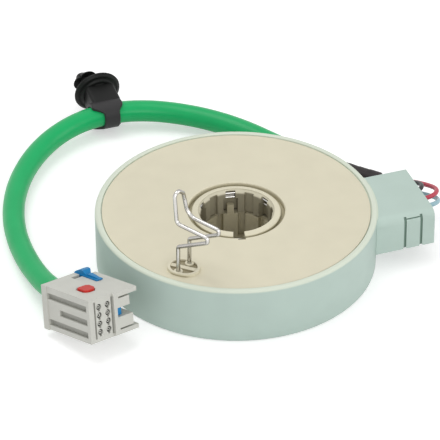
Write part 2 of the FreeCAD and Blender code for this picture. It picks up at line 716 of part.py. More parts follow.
def make_clip_mount():
    """The saddle on the band, the umbrella that seals the panel hole, and the fir tree behind it."""
    long, wide = SADDLE_LONG / 2, SADDLE_WIDE / 2
    saddle = prism([(-wide, -long, SADDLE_ROUND), (wide, -long, SADDLE_ROUND), (wide, long, SADDLE_ROUND),
                    (-wide, long, SADDLE_ROUND)], 0, UMBRELLA_AT)
    seat = Part.makeCylinder(SLEEVE_D / 2 + BAND_T, 2 * SADDLE_LONG, vec(0, -SADDLE_LONG, 0), vec(0, 1, 0))
    saddle = saddle.cut(seat)
    hub_top = UMBRELLA_AT + UMBRELLA_T
    rim = UMBRELLA_AT + UMBRELLA_DEPTH
    dish = revolved([
        (0, UMBRELLA_AT, 0), (UMBRELLA_HUB_R, UMBRELLA_AT, 0), (UMBRELLA_R, rim, 0.2),
        (UMBRELLA_R, rim + UMBRELLA_T * 0.7, 0.2), (UMBRELLA_HUB_R, hub_top, 0), (0, hub_top, 0),
    ])
    tree = [bar(TREE_CORE_R, UMBRELLA_AT, hub_top + TREE_FINS * TREE_PITCH)]
    for i in range(TREE_FINS):
        z = hub_top + (i + 0.3) * TREE_PITCH
        tree.append(Part.makeCone(TREE_FIN_R, TREE_CORE_R + 0.1, TREE_PITCH * 0.62, vec(0, 0, z)))
    tip = hub_top + (TREE_FINS + 1) * TREE_PITCH
    slot = block(-TREE_SLOT / 2, TREE_SLOT / 2, -SADDLE_LONG, SADDLE_LONG, tip - 3.0 * TREE_PITCH, tip)
    mount = united([saddle, dish] + tree).cut(turned(slot, TREE_SLOT_TURN))
    mount.Placement = clip_frame()
    return mount


def plug_frame():
    return FreeCAD.Placement(PLUG_AT, FreeCAD.Rotation(PLUG_YAW, PLUG_PITCH, PLUG_ROLL))


def placed(shape):
    """A copy of a shape of the plug, from its own frame to where the plug lies."""
    copy = shape.copy()
    copy.Placement = plug_frame().multiply(copy.Placement)
    return copy


def cavity_places():
    """Middles (y, z) of the terminal cavities on the plug's face."""
    y0 = PLUG_W / 2 + CAVITY_SIDEWAYS - (CAVITY_COLUMNS - 1) * CAVITY_PITCH_Y / 2
    z0 = PLUG_H / 2 - (CAVITY_ROWS - 1) * CAVITY_PITCH_Z / 2
    return [(y0 + i * CAVITY_PITCH_Y, z0 + j * CAVITY_PITCH_Z)
            for j in range(CAVITY_ROWS) for i in range(CAVITY_COLUMNS)]


def red_outline(gap):
    """The red lock from above: an octagon."""
    long, wide = RED_LONG / 2 + gap, RED_WIDE / 2 + gap
    return [(RED_AT_X + a * (long - in_x), RED_AT_Y + b * (wide - in_y), 0.3)
            for a, b, in_x, in_y in ((-1, -1, RED_CORNER, 0), (1, -1, RED_CORNER, 0), (1, -1, 0, RED_CORNER),
                                     (1, 1, 0, RED_CORNER), (1, 1, RED_CORNER, 0), (-1, 1, RED_CORNER, 0),
                                     (-1, 1, 0, RED_CORNER), (-1, -1, 0, RED_CORNER))]


def blue_rail():
    """The sides and the foot of the blue slide's rail in the plug's top."""
    return BLUE_AT_Y - BLUE_W / 2, BLUE_AT_Y + BLUE_W / 2, PLUG_H - LOCK_DEPTH


def wing_cuts(side, front):
    """What is taken from the side guide: the middle gap, the ways beside the blocks, and two slots."""
    low, high = WING_LIFT + WING_PLATE_T, PLUG_H - WING_DROP - WING_PLATE_T
    rear = WING_BACK + WING_REAR_T
    gap = PLUG_L - WING_GAP_LONG
    cuts = [
        block(gap, front, PLUG_W + WING_GAP_ROOT, side + 1, WING_GAP_FROM, WING_GAP_TO),
        block(rear, front, PLUG_W + WING_UPPER_W, side + 1, WING_GAP_TO, high),
        block(rear, front, PLUG_W + WING_LOWER_W, side + 1, low, WING_GAP_FROM),
    ]
    for z in (low, high - WING_SLOT_H):
        cuts.append(block(PLUG_L - WING_SLOT_LONG, front, PLUG_W + WING_SLOT_ROOT, side + 1,
                          z, z + WING_SLOT_H))
    return cuts


def make_plug_housing(route):
    """The plug's shell: ribbed body with eight cavities, the side guide, and the socket for the sleeve."""
    body = block(0, PLUG_L, 0, PLUG_W, 0, PLUG_H)
    back = block(0, PLUG_BACK_T, -BACK_PROUD, PLUG_W + BACK_WING, -BACK_FOOT, PLUG_H)
    side = PLUG_W + WING_W
    front = PLUG_L + 2
    wing = block(WING_BACK, PLUG_L + WING_PROUD, PLUG_W - 0.5, side, WING_LIFT, PLUG_H - WING_DROP)
    shell = united([body, back, wing])
    cuts = []
    for share, start in zip(CHANNEL_LEVELS, CHANNEL_STARTS):
        z = PLUG_H * share
        cuts.append(block(start, PLUG_L - CHANNEL_STOP, -1, CHANNEL_DEPTH,
                          z - CHANNEL_H / 2, z + CHANNEL_H / 2))
    places = cavity_places()
    face_low, face_high = places[0][1] - 2 * CAVITY_R, places[-1][1] + 2 * CAVITY_R
    for y in (places[0][0] - CAVITY_PITCH_Y / 2, places[-1][0] + CAVITY_PITCH_Y / 2):
        cuts.append(block(PLUG_L - FACE_SLOT_DEPTH, front, y - FACE_SLOT / 2, y + FACE_SLOT / 2,
                          face_low, face_high))
    rear = PLUG_L - CAVITY_DEPTH
    for y, z in places:
        cuts.append(Part.makeCylinder(CAVITY_R, front - rear, vec(rear, y, z), vec(1, 0, 0)))
        cuts.append(block(rear, front, y - CAVITY_KEY_W / 2, y + CAVITY_KEY_W / 2,
                          z - CAVITY_R - CAVITY_KEY_H, z))
    cuts += wing_cuts(side, front)
    cuts.append(prism(red_outline(LOCK_GAP), PLUG_H - LOCK_DEPTH, PLUG_H + 1))
    rail_y0, rail_y1, rail_z = blue_rail()
    cuts.append(block(-1, BLUE_TO + LOCK_GAP, rail_y0 - LOCK_GAP, rail_y1 + LOCK_GAP, rail_z, PLUG_H + 1))
    start, after = (vec(*p) for p in route[:2])
    socket = Part.makeCylinder(SLEEVE_D / 2, (after - start).Length, start, after - start)
    return placed(shell.cut(Part.makeCompound(cuts))).cut(socket).removeSplitter()


def make_plug_red_lock():
    """The red lock in its window in the plug's top, which lifts to free the terminals."""
    return placed(prism(red_outline(0.0), PLUG_H - LOCK_DEPTH + LOCK_GAP, PLUG_H + RED_PROUD))


def make_plug_blue_lock():
    """The blue slide on the plug's shoulder, with its sloping grip."""
    y0, y1, foot = blue_rail()
    side = prism([(BLUE_FROM, foot + LOCK_GAP, 0), (BLUE_TO, foot + LOCK_GAP, 0),
                  (BLUE_TO, PLUG_H + 0.1, 0), (BLUE_TO - 4.5, PLUG_H + BLUE_PROUD * 0.6, 0.8),
                  (BLUE_FROM + 2.6, PLUG_H + BLUE_PROUD, 0.8), (BLUE_FROM, PLUG_H + 0.4, 0)], -y1, -y0)
    side.rotate(ZERO, vec(1, 0, 0), 90)
    return placed(side)


def make_plug_side_key():
    """The blue key at the root of the side guide's gap."""
    root = PLUG_W + WING_GAP_ROOT
    front = PLUG_L - KEY_IN
    return placed(block(front - KEY_LONG, front, root, root + KEY_WIDE, WING_GAP_FROM, WING_GAP_TO - KEY_GAP))


def make_plug_contact(index):
    """A socket contact at the bottom of its cavity."""
    y, z = cavity_places()[index * 2]
    half = CONTACT_SIDE / 2
    outer = block(PLUG_L - CAVITY_DEPTH, PLUG_L - 1.5, y - half, y + half, z - half, z + half)
    return placed(outer.cut(block(PLUG_L - CAVITY_DEPTH + 1, PLUG_L, y - 0.4, y + 0.4, z - 0.4, z + 0.4)))


def main():
    os.makedirs("parts", exist_ok=True)
    sleeve = cord("sleeve", SLEEVE_ROUTE, SLEEVE_D)
    tape = cord("tape_wrap", TAPE_ROUTE, TAPE_D).cut(sleeve)
    nodes = {
        "housing": make_housing(),
        "box_tray": make_box_tray(),
        "box_cover": make_box_cover(),
        "upper_rotor": make_upper_rotor(),
        "lower_rotor": make_lower_rotor(),
        "spring_wire": make_spring_wire(),
        "resistor_board": make_resistor_board(),
        "clip_band": make_clip_band(sleeve),
        "clip_mount": make_clip_mount(),
        "plug_housing": make_plug_housing(SLEEVE_ROUTE),
        "plug_red_lock": make_plug_red_lock(),
        "plug_blue_lock": make_plug_blue_lock(),
        "plug_side_key": make_plug_side_key(),
        "sleeve": sleeve,
        "tape_wrap": tape,
    }
    for i, name in enumerate(LEAD_ROUTES):
        nodes[name] = cord(name, lead_route(i, name), LEAD_D).cut(tape)
    for i, place in enumerate(LEAF_PLACES):
        nodes[f"leaf_spring_{i + 1}"] = make_leaf_spring(place)
    for i in range(2):
        nodes[f"upper_wiper_{i + 1}"] = make_wiper(SKIRT_R - SKIRT_T / 2, SKIRT_FOOT, i)
        nodes[f"lower_wiper_{i + 1}"] = make_wiper(LOWER_WIPER_R, FLANGE_Z, i)
    for i in range(len(LEAD_ROUTES)):
        nodes[f"terminal_pin_{i + 1}"] = make_terminal_pin(i)
        nodes[f"plug_contact_{i + 1}"] = make_plug_contact(i)
    for name, shape in nodes.items():
        shape.exportStep(f"parts/{name}.step")
        print(f"{name}: valid {shape.isValid()}, solids {len(shape.Solids)}, volume {shape.Volume:.1f}")


main()
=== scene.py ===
"""A steering angle sensor on a plain pale floor.

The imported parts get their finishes, and finer pieces stand in the place of some of them. Sizes are written in
millimetres, as in the part's own drawing, and the mesh builders turn them to metres. The origin is on the
shaft bore's axis at the underside, +Z is up towards the rotor disc, and +X points at the side box.
"""
import json
import logging
import math
from dataclasses import dataclass
from enum import Enum
from typing import Iterable, Sequence

import bmesh
import bpy
import numpy as np
from mathutils import Matrix, Vector


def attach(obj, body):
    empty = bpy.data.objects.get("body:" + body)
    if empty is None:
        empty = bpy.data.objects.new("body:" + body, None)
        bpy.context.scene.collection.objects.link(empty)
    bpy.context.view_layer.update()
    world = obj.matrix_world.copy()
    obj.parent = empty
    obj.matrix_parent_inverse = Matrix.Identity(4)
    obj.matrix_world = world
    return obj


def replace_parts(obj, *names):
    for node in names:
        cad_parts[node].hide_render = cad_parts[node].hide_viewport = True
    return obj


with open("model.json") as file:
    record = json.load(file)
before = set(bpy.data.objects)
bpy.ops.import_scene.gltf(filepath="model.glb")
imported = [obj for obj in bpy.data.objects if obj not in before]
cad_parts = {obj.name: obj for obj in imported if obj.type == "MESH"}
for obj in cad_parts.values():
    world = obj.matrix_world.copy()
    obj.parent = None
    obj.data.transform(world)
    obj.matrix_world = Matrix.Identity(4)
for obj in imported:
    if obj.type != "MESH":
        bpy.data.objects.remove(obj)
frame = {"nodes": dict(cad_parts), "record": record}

LOG = logging.getLogger("steering_angle_sensor")
MM = 0.001
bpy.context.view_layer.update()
Point = tuple[float, float, float]


class Body(Enum):
    """The moving bodies that a piece may ride on."""

    BASE = "base"
    DISC = "disc"
    HUB = "hub"
    RED_LOCK = "red_lock"
    BLUE_LOCK = "blue_lock"


# Camera, floor and light


@dataclass
class View:
    """The photograph's viewpoint: a long lens that looks down on the sensor from the front left.

    Attributes:
        target: The point looked at, in millimetres.
        azimuth: The turn round the object from the front, in degrees.
        elevation: The height above the horizon, in degrees.
        distance: How far the camera stands from the target, in millimetres.
        lens: The focal length on the 36 mm sensor, in millimetres.
    """

    target: Point = (-2.2, 9.88, 10.0)
    azimuth: float = -20.0
    elevation: float = 34.823
    distance: float = 1400.0
    lens: float = 338.04

    def build(self) -> None:
        """Puts up the camera and makes it the scene's own."""
        turn, rise = math.radians(self.azimuth), math.radians(self.elevation)
        back = Vector((math.sin(turn) * math.cos(rise), -math.cos(turn) * math.cos(rise), math.sin(rise)))
        data = bpy.data.cameras.new("camera")
        data.lens = self.lens
        data.sensor_width = 36.0
        data.clip_start, data.clip_end = 0.05, 50.0
        camera = bpy.data.objects.new("camera", data)
        bpy.context.scene.collection.objects.link(camera)
        camera.location = (Vector(self.target) + back * self.distance) * MM
        camera.rotation_mode = "QUATERNION"
        camera.rotation_quaternion = (-back).to_track_quat("-Z", "Y")
        bpy.context.scene.camera = camera
        LOG.info("the camera looks from azimuth %.1f and elevation %.1f", self.azimuth, self.elevation)


@dataclass
class Lamp:
    """A soft square studio lamp that points at the object.

    Attributes:
        name: The lamp's name.
        place: Where it hangs, in metres.
        side: The length of its side, in metres.
        power: Its power, in watts.
    """

    name: str
    place: Point
    side: float
    power: float

    def build(self) -> None:
        """Hangs the lamp and turns it to the object."""
        data = bpy.data.lights.new(self.name, "AREA")
        data.shape = "SQUARE"
        data.size = self.side
        data.energy = self.power
        lamp = bpy.data.objects.new(self.name, data)
        bpy.context.scene.collection.objects.link(lamp)
        lamp.location = self.place
        lamp.rotation_mode = "QUATERNION"
        lamp.rotation_quaternion = Vector(self.place).to_track_quat("Z", "Y")
        LOG.info("%s gives %.1f W", self.name, self.power)


@dataclass
class Studio:
    """The plain floor, the pale world and the lamps.

    Attributes:
        world_low: The light that the world gives at the horizon.
        world_high: The light that it gives from straight above.
        floor_lift: The glow that brings the floor to white where nothing shades it.
        floor_grey: The floor's own colour.
        floor_side: The floor's length and width, in metres.
        floor_drop: How far the floor lies under the part's foot, in millimetres.
        lamps: The lamps.
    """

    world_low: float = 0.45
    world_high: float = 0.64
    floor_lift: float = 0.42
    floor_grey: float = 0.8
    floor_side: float = 12.0
    floor_drop: float = 0.03
    lamps: tuple[Lamp, ...] = (
        Lamp("lamp_over", (-0.3, 0.4, 1.5), 1.0, 7.5),
        Lamp("lamp_front", (-0.25, -1.7, 0.75), 0.9, 8.9),
        Lamp("lamp_side", (1.5, -0.7, 0.6), 0.9, 5.0),
    )

    def build(self) -> None:
        """Sets the world, the floor, the lamps and the plain view."""
        bpy.context.scene.view_settings.view_transform = "Standard"
        self.build_world()
        self.build_floor()
        for lamp in self.lamps:
            lamp.build()

    def build_world(self) -> None:
        """Makes the world white to the eye, with a calm light that grows towards the zenith for the rest."""
        world = bpy.data.worlds.new("studio")
        bpy.context.scene.world = world
        world.use_nodes = True
        nodes, links = world.node_tree.nodes, world.node_tree.links
        nodes.clear()
        seen = add_node(nodes, "ShaderNodeBackground", Color=(1, 1, 1, 1), Strength=1.0)
        given = add_node(nodes, "ShaderNodeBackground", Color=(1, 1, 1, 1))
        split = nodes.new("ShaderNodeSeparateXYZ")
        links.new(nodes.new("ShaderNodeTexCoord").outputs["Generated"], split.inputs[0])
        rise = add_node(nodes, "ShaderNodeMapRange", To_Min=self.world_low, To_Max=self.world_high)
        links.new(split.outputs["Z"], rise.inputs["Value"])
        links.new(rise.outputs[0], given.inputs["Strength"])
        mix = nodes.new("ShaderNodeMixShader")
        links.new(seen_ray(nodes, links), mix.inputs[0])
        links.new(given.outputs[0], mix.inputs[1])
        links.new(seen.outputs[0], mix.inputs[2])
        out = nodes.new("ShaderNodeOutputWorld")
        links.new(mix.outputs[0], out.inputs[0])

    def build_floor(self) -> None:
        """Lays the floor, which keeps the object's shadow."""
        material = bpy.data.materials.new("floor")
        material.use_nodes = True
        nodes, links = material.node_tree.nodes, material.node_tree.links
        nodes.clear()
        grey = (self.floor_grey,) * 3 + (1.0,)
        matte = add_node(nodes, "ShaderNodeBsdfDiffuse", Color=grey)
        glow = add_node(nodes, "ShaderNodeEmission", Color=(1, 1, 1, 1), Strength=self.floor_lift)
        lit = nodes.new("ShaderNodeAddShader")
        links.new(matte.outputs[0], lit.inputs[0])
        links.new(glow.outputs[0], lit.inputs[1])
        mix = nodes.new("ShaderNodeMixShader")
        links.new(seen_ray(nodes, links), mix.inputs[0])
        links.new(matte.outputs[0], mix.inputs[1])
        links.new(lit.outputs[0], mix.inputs[2])
        out = nodes.new("ShaderNodeOutputMaterial")
        links.new(mix.outputs[0], out.inputs[0])
        half = self.floor_side / 2 / MM
        corners = np.array([(x, y, -self.floor_drop) for x, y in
                            ((-half, -half), (half, -half), (half, half), (-half, half))])
        floor = mesh_object("floor", corners, [(0, 1, 2, 3)], closed=False)
        floor.data.materials.append(material)


def add_node(nodes: bpy.types.Nodes, kind: str, **values: object) -> bpy.types.Node:
    """Adds a node and sets its inputs by name.

    Args:
        nodes: The tree's nodes.
        kind: The node's type.
        **values: Values of inputs, with underscores for the spaces in their names.

    Returns:
        The new node.
    """
    node = nodes.new(kind)
    for name, value in values.items():
        node.inputs[name.replace("_", " ")].default_value = value
    return node


def worked(nodes: bpy.types.Nodes, links: bpy.types.NodeLinks, operation: str,
           first: bpy.types.NodeSocket, second: bpy.types.NodeSocket) -> bpy.types.NodeSocket:
    """Works out one value from two others.

    Args:
        nodes: The tree's nodes.
        links: The tree's links.
        operation: The Math node's operation.
        first: The socket with the first value.
        second: The socket with the second value.

    Returns:
        The socket with the result.
    """
    math_node = nodes.new("ShaderNodeMath")
    math_node.operation = operation
    links.new(first, math_node.inputs[0])
    links.new(second, math_node.inputs[1])
    return math_node.outputs[0]


def mixed(nodes: bpy.types.Nodes, links: bpy.types.NodeLinks, share: bpy.types.NodeSocket,
          first: bpy.types.NodeSocket,
          second: bpy.types.NodeSocket | Sequence[float]) -> bpy.types.NodeSocket:
    """Mixes one colour into another by a varying share.

    Args:
        nodes: The tree's nodes.
        links: The tree's links.
        share: The socket with the share, from 0 to 1.
        first: The socket with the colour at 0.
        second: The colour at 1, or the socket with it.

    Returns:
        The socket with the mixed colour.
    """
    mix = nodes.new("ShaderNodeMix")
    mix.data_type = "RGBA"
    links.new(share, mix.inputs["Factor"])
    links.new(first, mix.inputs[6])
    if isinstance(second, bpy.types.NodeSocket):
        links.new(second, mix.inputs[7])
    else:
        mix.inputs[7].default_value = second
    return mix.outputs[2]


def add_sockets(tree: bpy.types.NodeTree, way: str, kinds: dict[str, str]) -> None:
    """Gives a node group its named inputs or outputs.

    Args:
        tree: The node group.
        way: INPUT or OUTPUT.
        kinds: Each socket's kind, Vector, Color or Float, by its name.
    """
    for name, kind in kinds.items():
        tree.interface.new_socket(name, in_out=way, socket_type="NodeSocket" + kind)


def seen_ray(nodes: bpy.types.Nodes, links: bpy.types.NodeLinks) -> bpy.types.NodeSocket:
    """Gives 1 for what the eye sees directly, in a reflection or through glass.

    Args:
        nodes: The tree's nodes.
        links: The tree's links.

    Returns:
        The socket with that value.
    """
    path = nodes.new("ShaderNodeLightPath")
    value = path.outputs["Is Camera Ray"]
    for ray in ("Is Glossy Ray", "Is Transmission Ray"):
        value = worked(nodes, links, "MAXIMUM", value, path.outputs[ray])
    return value


# Finishes


class Grain(Enum):
    """How a surface is broken up: pore size, pore depth and blotch size in millimetres, and its drift."""

    MOULDED = (0.35, 0.012, 9.0, 0.012)
    FINE = (0.25, 0.006, 6.0, 0.015)
    EXTRUDED = (0.6, 0.01, 6.0, 0.02)
    DRAWN = (0.2, 0.003, 4.0, 0.04)
    WOUND = (0.5, 0.03, 3.0, 0.12)
    LAMINATE = (0.8, 0.02, 5.0, 0.08)


def grain_group() -> bpy.types.NodeTree:
    """Builds the grain that all finishes share.

    Height is fine noise at the pore size. Color runs between the base and its shade by soft noise at the
    blotch size. Roughness rises and falls with the blotches.

    Returns:
        The node group, with named inputs and outputs.
    """
    tree = bpy.data.node_groups.new("surface_grain", "ShaderNodeTree")
    add_sockets(tree, "INPUT", {"Vector": "Vector", "Base": "Color", "Shade": "Color", "Pore Scale": "Float",
                                "Blotch Scale": "Float", "Roughness": "Float"})
    add_sockets(tree, "OUTPUT", {"Color": "Color", "Roughness": "Float", "Height": "Float"})
    nodes, links = tree.nodes, tree.links
    given, result = nodes.new("NodeGroupInput"), nodes.new("NodeGroupOutput")
    pores = add_node(nodes, "ShaderNodeTexNoise", Detail=3.0, Roughness=0.6)
    blotches = add_node(nodes, "ShaderNodeTexNoise", Detail=2.0, Roughness=0.5)
    for noise, scale in ((pores, "Pore Scale"), (blotches, "Blotch Scale")):
        links.new(given.outputs["Vector"], noise.inputs["Vector"])
        links.new(given.outputs[scale], noise.inputs["Scale"])
    spread = add_node(nodes, "ShaderNodeMapRange", From_Min=0.3, From_Max=0.7)
    swing = add_node(nodes, "ShaderNodeMapRange", To_Min=-0.06, To_Max=0.06)
    for ramp in (spread, swing):
        links.new(blotches.outputs["Fac"], ramp.inputs["Value"])
    color = mixed(nodes, links, spread.outputs[0], given.outputs["Base"], given.outputs["Shade"])
    links.new(color, result.inputs["Color"])
    rough = worked(nodes, links, "ADD", given.outputs["Roughness"], swing.outputs[0])
    links.new(rough, result.inputs["Roughness"])
    links.new(pores.outputs["Fac"], result.inputs["Height"])
    return tree


GRAIN_GROUP = grain_group()


def linear(srgb: Sequence[int], share: float = 1.0) -> tuple[float, float, float, float]:
    """Turns a colour as seen on a screen to the shader's linear one.

    Args:
        srgb: Red, green and blue from 0 to 255.
        share: What the result is multiplied by.

    Returns:
        The linear colour with alpha 1.
    """
    value = np.asarray(srgb, float) / 255
    low = value / 12.92
    high = ((value + 0.055) / 1.055) ** 2.4
    return (*(np.where(value <= 0.04045, low, high) * share).tolist(), 1.0)


def step_group() -> bpy.types.NodeTree:
    """Builds the soft step in space that the zones share.

    The distance is the offset from About measured along Way, or, where Around is 1, the length of the offset
    times Way. Factor rises smoothly from 0 at First to 1 at Last.

    Returns:
        The node group, with named inputs and one output.
    """
    tree = bpy.data.node_groups.new("soft_step", "ShaderNodeTree")
    add_sockets(tree, "INPUT", {"Vector": "Vector", "About": "Vector", "Way": "Vector", "Around": "Float",
                                "First": "Float", "Last": "Float"})
    add_sockets(tree, "OUTPUT", {"Factor": "Float"})
    nodes, links = tree.nodes, tree.links
    given, result = nodes.new("NodeGroupInput"), nodes.new("NodeGroupOutput")
    offset, along, scaled, length = (nodes.new("ShaderNodeVectorMath") for _ in range(4))
    offset.operation = "SUBTRACT"
    along.operation = "DOT_PRODUCT"
    scaled.operation = "MULTIPLY"
    length.operation = "LENGTH"
    links.new(given.outputs["Vector"], offset.inputs[0])
    links.new(given.outputs["About"], offset.inputs[1])
    for node in (along, scaled):
        links.new(offset.outputs["Vector"], node.inputs[0])
        links.new(given.outputs["Way"], node.inputs[1])
    links.new(scaled.outputs["Vector"], length.inputs[0])
    distance = nodes.new("ShaderNodeMix")
    links.new(given.outputs["Around"], distance.inputs["Factor"])
    links.new(along.outputs["Value"], distance.inputs[2])
    links.new(length.outputs["Value"], distance.inputs[3])
    rise = nodes.new("ShaderNodeMapRange")
    rise.interpolation_type = "SMOOTHSTEP"
    links.new(distance.outputs[0], rise.inputs["Value"])
    links.new(given.outputs["First"], rise.inputs["From Min"])
    links.new(given.outputs["Last"], rise.inputs["From Max"])
    links.new(rise.outputs[0], result.inputs["Factor"])
    return tree


STEP_GROUP = step_group()


@dataclass(frozen=True)
class Step:
    """A soft step in space, in millimetres: 0 at the first distance and 1 at the last.

    Attributes:
        first: The distance where it starts.
        last: The distance where it is full.
        way: The direction of the distance, or the share of each axis in a radius.
        about: The point that the distance is measured from.
        around: True if the distance is a radius.
    """

    first: float
    last: float
    way: Point = (0.0, 0.0, 1.0)
    about: Point = (0.0, 0.0, 0.0)
    around: bool = False

    def build(self, nodes: bpy.types.Nodes, links: bpy.types.NodeLinks,
              place: bpy.types.NodeSocket) -> bpy.types.NodeSocket:
        """Adds the step to a material's tree.

        Args:
            nodes: The tree's nodes.
            links: The tree's links.
            place: The socket with the object coordinates.

        Returns:
            The socket that rises from 0 to 1.
        """
        step = nodes.new("ShaderNodeGroup")
        step.node_tree = STEP_GROUP
        links.new(place, step.inputs["Vector"])
        values = {"About": [at * MM for at in self.about], "Way": self.way, "Around": float(self.around),
                  "First": self.first * MM, "Last": self.last * MM}
        for name, value in values.items():
            step.inputs[name].default_value = value
        return step.outputs[0]


@dataclass(frozen=True)
class PaintedZone:
    """A part of a finish where light or shade is painted: another tone, where all of its steps are full.

    Attributes:
        srgb: The zone's tone as seen on a screen.
        share: How much of the zone's tone is mixed in.
        steps: The soft steps that bound it.
    """

    srgb: tuple[int, int, int]
    share: float
    steps: tuple[Step, ...]


@dataclass(frozen=True)
class Finish:
    """One finish of the sensor, from a record's material slot.

    Attributes:
        slot: The record's material slot.
        srgb: The colour as seen on a screen, from 0 to 255.
        grain: How the surface is broken up.
        roughness: The shader's roughness.
        metallic: 1 for bare metal.
        gloss: The shader's specular level.
        painted_zones: The painted light and shade, parts of the surface that have another tone.
        rim: The painted dark reflection where the surface turns away from the eye, if it has one.
        painted_reflection_spread: How far in from the silhouette that painted reflection reaches, from 0 to 1.
    """

    slot: str
    srgb: tuple[int, int, int]
    grain: Grain
    roughness: float
    metallic: float = 0.0
    gloss: float = 0.5
    painted_zones: tuple[PaintedZone, ...] = ()
    # A painted dark reflection where the surface turns away from the eye.
    rim: tuple[int, int, int] | None = None
    painted_reflection_spread: float = 0.45

    def build(self) -> bpy.types.Material:
        """Builds the material from the shared grain, a bump and the shader, with its painted light and shade.

        Returns:
            The material, named after the slot.
        """
        pore, depth, blotch, drift = self.grain.value
        material = bpy.data.materials.new(self.slot)
        material.use_nodes = True
        nodes, links = material.node_tree.nodes, material.node_tree.links
        nodes.clear()
        place = nodes.new("ShaderNodeTexCoord")
        grain = nodes.new("ShaderNodeGroup")
        grain.node_tree = GRAIN_GROUP
        values = {"Base": linear(self.srgb), "Shade": linear(self.srgb, 1 - 3 * drift),
                  "Pore Scale": 1 / (pore * MM), "Blotch Scale": 1 / (blotch * MM),
                  "Roughness": self.roughness}
        for name, value in values.items():
            grain.inputs[name].default_value = value
        links.new(place.outputs["Object"], grain.inputs["Vector"])
        bump = add_node(nodes, "ShaderNodeBump", Distance=depth * MM, Strength=1.0)
        links.new(grain.outputs["Height"], bump.inputs["Height"])
        shader = add_node(nodes, "ShaderNodeBsdfPrincipled", Metallic=self.metallic,
                          Specular_IOR_Level=self.gloss)
        color = grain.outputs["Color"]
        # Each zone mixes painted light or painted shade into the colour.
        for painted_zone in self.painted_zones:
            share = add_node(nodes, "ShaderNodeValue").outputs[0]
            share.default_value = painted_zone.share
            for step in painted_zone.steps:
                rise = step.build(nodes, links, place.outputs["Object"])
                share = worked(nodes, links, "MULTIPLY", share, rise)
            color = mixed(nodes, links, share, color, linear(painted_zone.srgb))
        # Painted dark reflection towards the silhouette.
        if self.rim:
            painted_reflection_weight = add_node(nodes, "ShaderNodeLayerWeight", Blend=self.painted_reflection_spread)
            color = mixed(nodes, links, painted_reflection_weight.outputs["Facing"], color, linear(self.rim))
        links.new(color, shader.inputs["Base Color"])
        links.new(grain.outputs["Roughness"], shader.inputs["Roughness"])
        links.new(bump.outputs[0], shader.inputs["Normal"])
        out = nodes.new("ShaderNodeOutputMaterial")
        links.new(shader.outputs[0], out.inputs["Surface"])
        return material


# The plug's place and turns, the wire's boss, the ways that steps run, and the lid's rounded edge
PLUG_AT = (-74.0, -18.9, 2.75)
PLUG_TURNS = (("Z", -67.3), ("Y", -13.4), ("X", -7.3))
PLUG_AXES = np.linalg.multi_dot([Matrix.Rotation(math.radians(turn), 3, axis) for axis, turn in PLUG_TURNS])
PLUG_X, PLUG_Y, PLUG_Z = (tuple(axis) for axis in PLUG_AXES.T.tolist())
BOSS_AT = (-27.96, -26.17, 20.1)
X_WAY, Y_WAY = (1.0, 0.0, 0.0), (0.0, 1.0, 0.0)
RADIUS = (1.0, 1.0, 0.0)
LID_EDGE = {"way": (0.0, 1.0, 1.0), "about": (0.0, -19.8, 16.9), "around": True}

# Painted highlight on the rim's top, and painted shade in the deep places that little light reaches
# Painted highlight: the rim's top is mixed towards a pale cream.
PAINTED_RIM_HIGHLIGHT = PaintedZone((219, 226, 209), 0.9, (Step(19.3, 20.0), Step(47.75, 47.6, RADIUS, around=True)))
SLOT_ENDS = (Step(49.0, 49.5, X_WAY), Step(61.0, 60.5, X_WAY))
# Painted shade on the slots' walls and on the wall behind them, front and top.
SLOT_FRONT_PAINTED_SHADE = PaintedZone((92, 122, 106), 0.75, (*SLOT_ENDS, Step(-22.6, -22.4, Y_WAY), Step(17.1, 16.9)))
SLOT_TOP_PAINTED_SHADE = PaintedZone((92, 122, 106), 0.75, (
    *SLOT_ENDS, Step(2.85, 2.6, **LID_EDGE), Step(16.8, 17.0), Step(-19.6, -19.9, Y_WAY)))
# Painted shade down the collar's bore.
BORE_PAINTED_SHADE = PaintedZone((108, 100, 76), 0.72, (Step(14.9, 14.7, RADIUS, around=True), Step(19.1, 17.9)))
# Painted shade in the groove between the disc and the collar.
GROOVE_PAINTED_SHADE = PaintedZone((158, 150, 116), 0.6, (
    Step(14.7, 14.85, RADIUS, around=True), Step(16.5, 16.35, RADIUS, around=True), Step(19.9, 18.6)))
# Painted shade in the pocket of the wire's boss.
POCKET_PAINTED_SHADE = PaintedZone((122, 110, 76), 0.72, (
    Step(5.3, 4.9, RADIUS, BOSS_AT, True), Step(21.0, 20.35), Step(20.12, 20.2)))
# Painted shade in the channels on the plug's side.
CHANNELS_PAINTED_SHADE = PaintedZone((118, 119, 112), 0.45, (
    Step(0.15, 1.0, PLUG_Y, PLUG_AT), Step(2.0, 1.5, PLUG_Y, PLUG_AT), Step(22.62, 22.5, PLUG_X, PLUG_AT),
    Step(1.3, 1.7, PLUG_Z, PLUG_AT), Step(13.2, 13.0, PLUG_Z, PLUG_AT)))

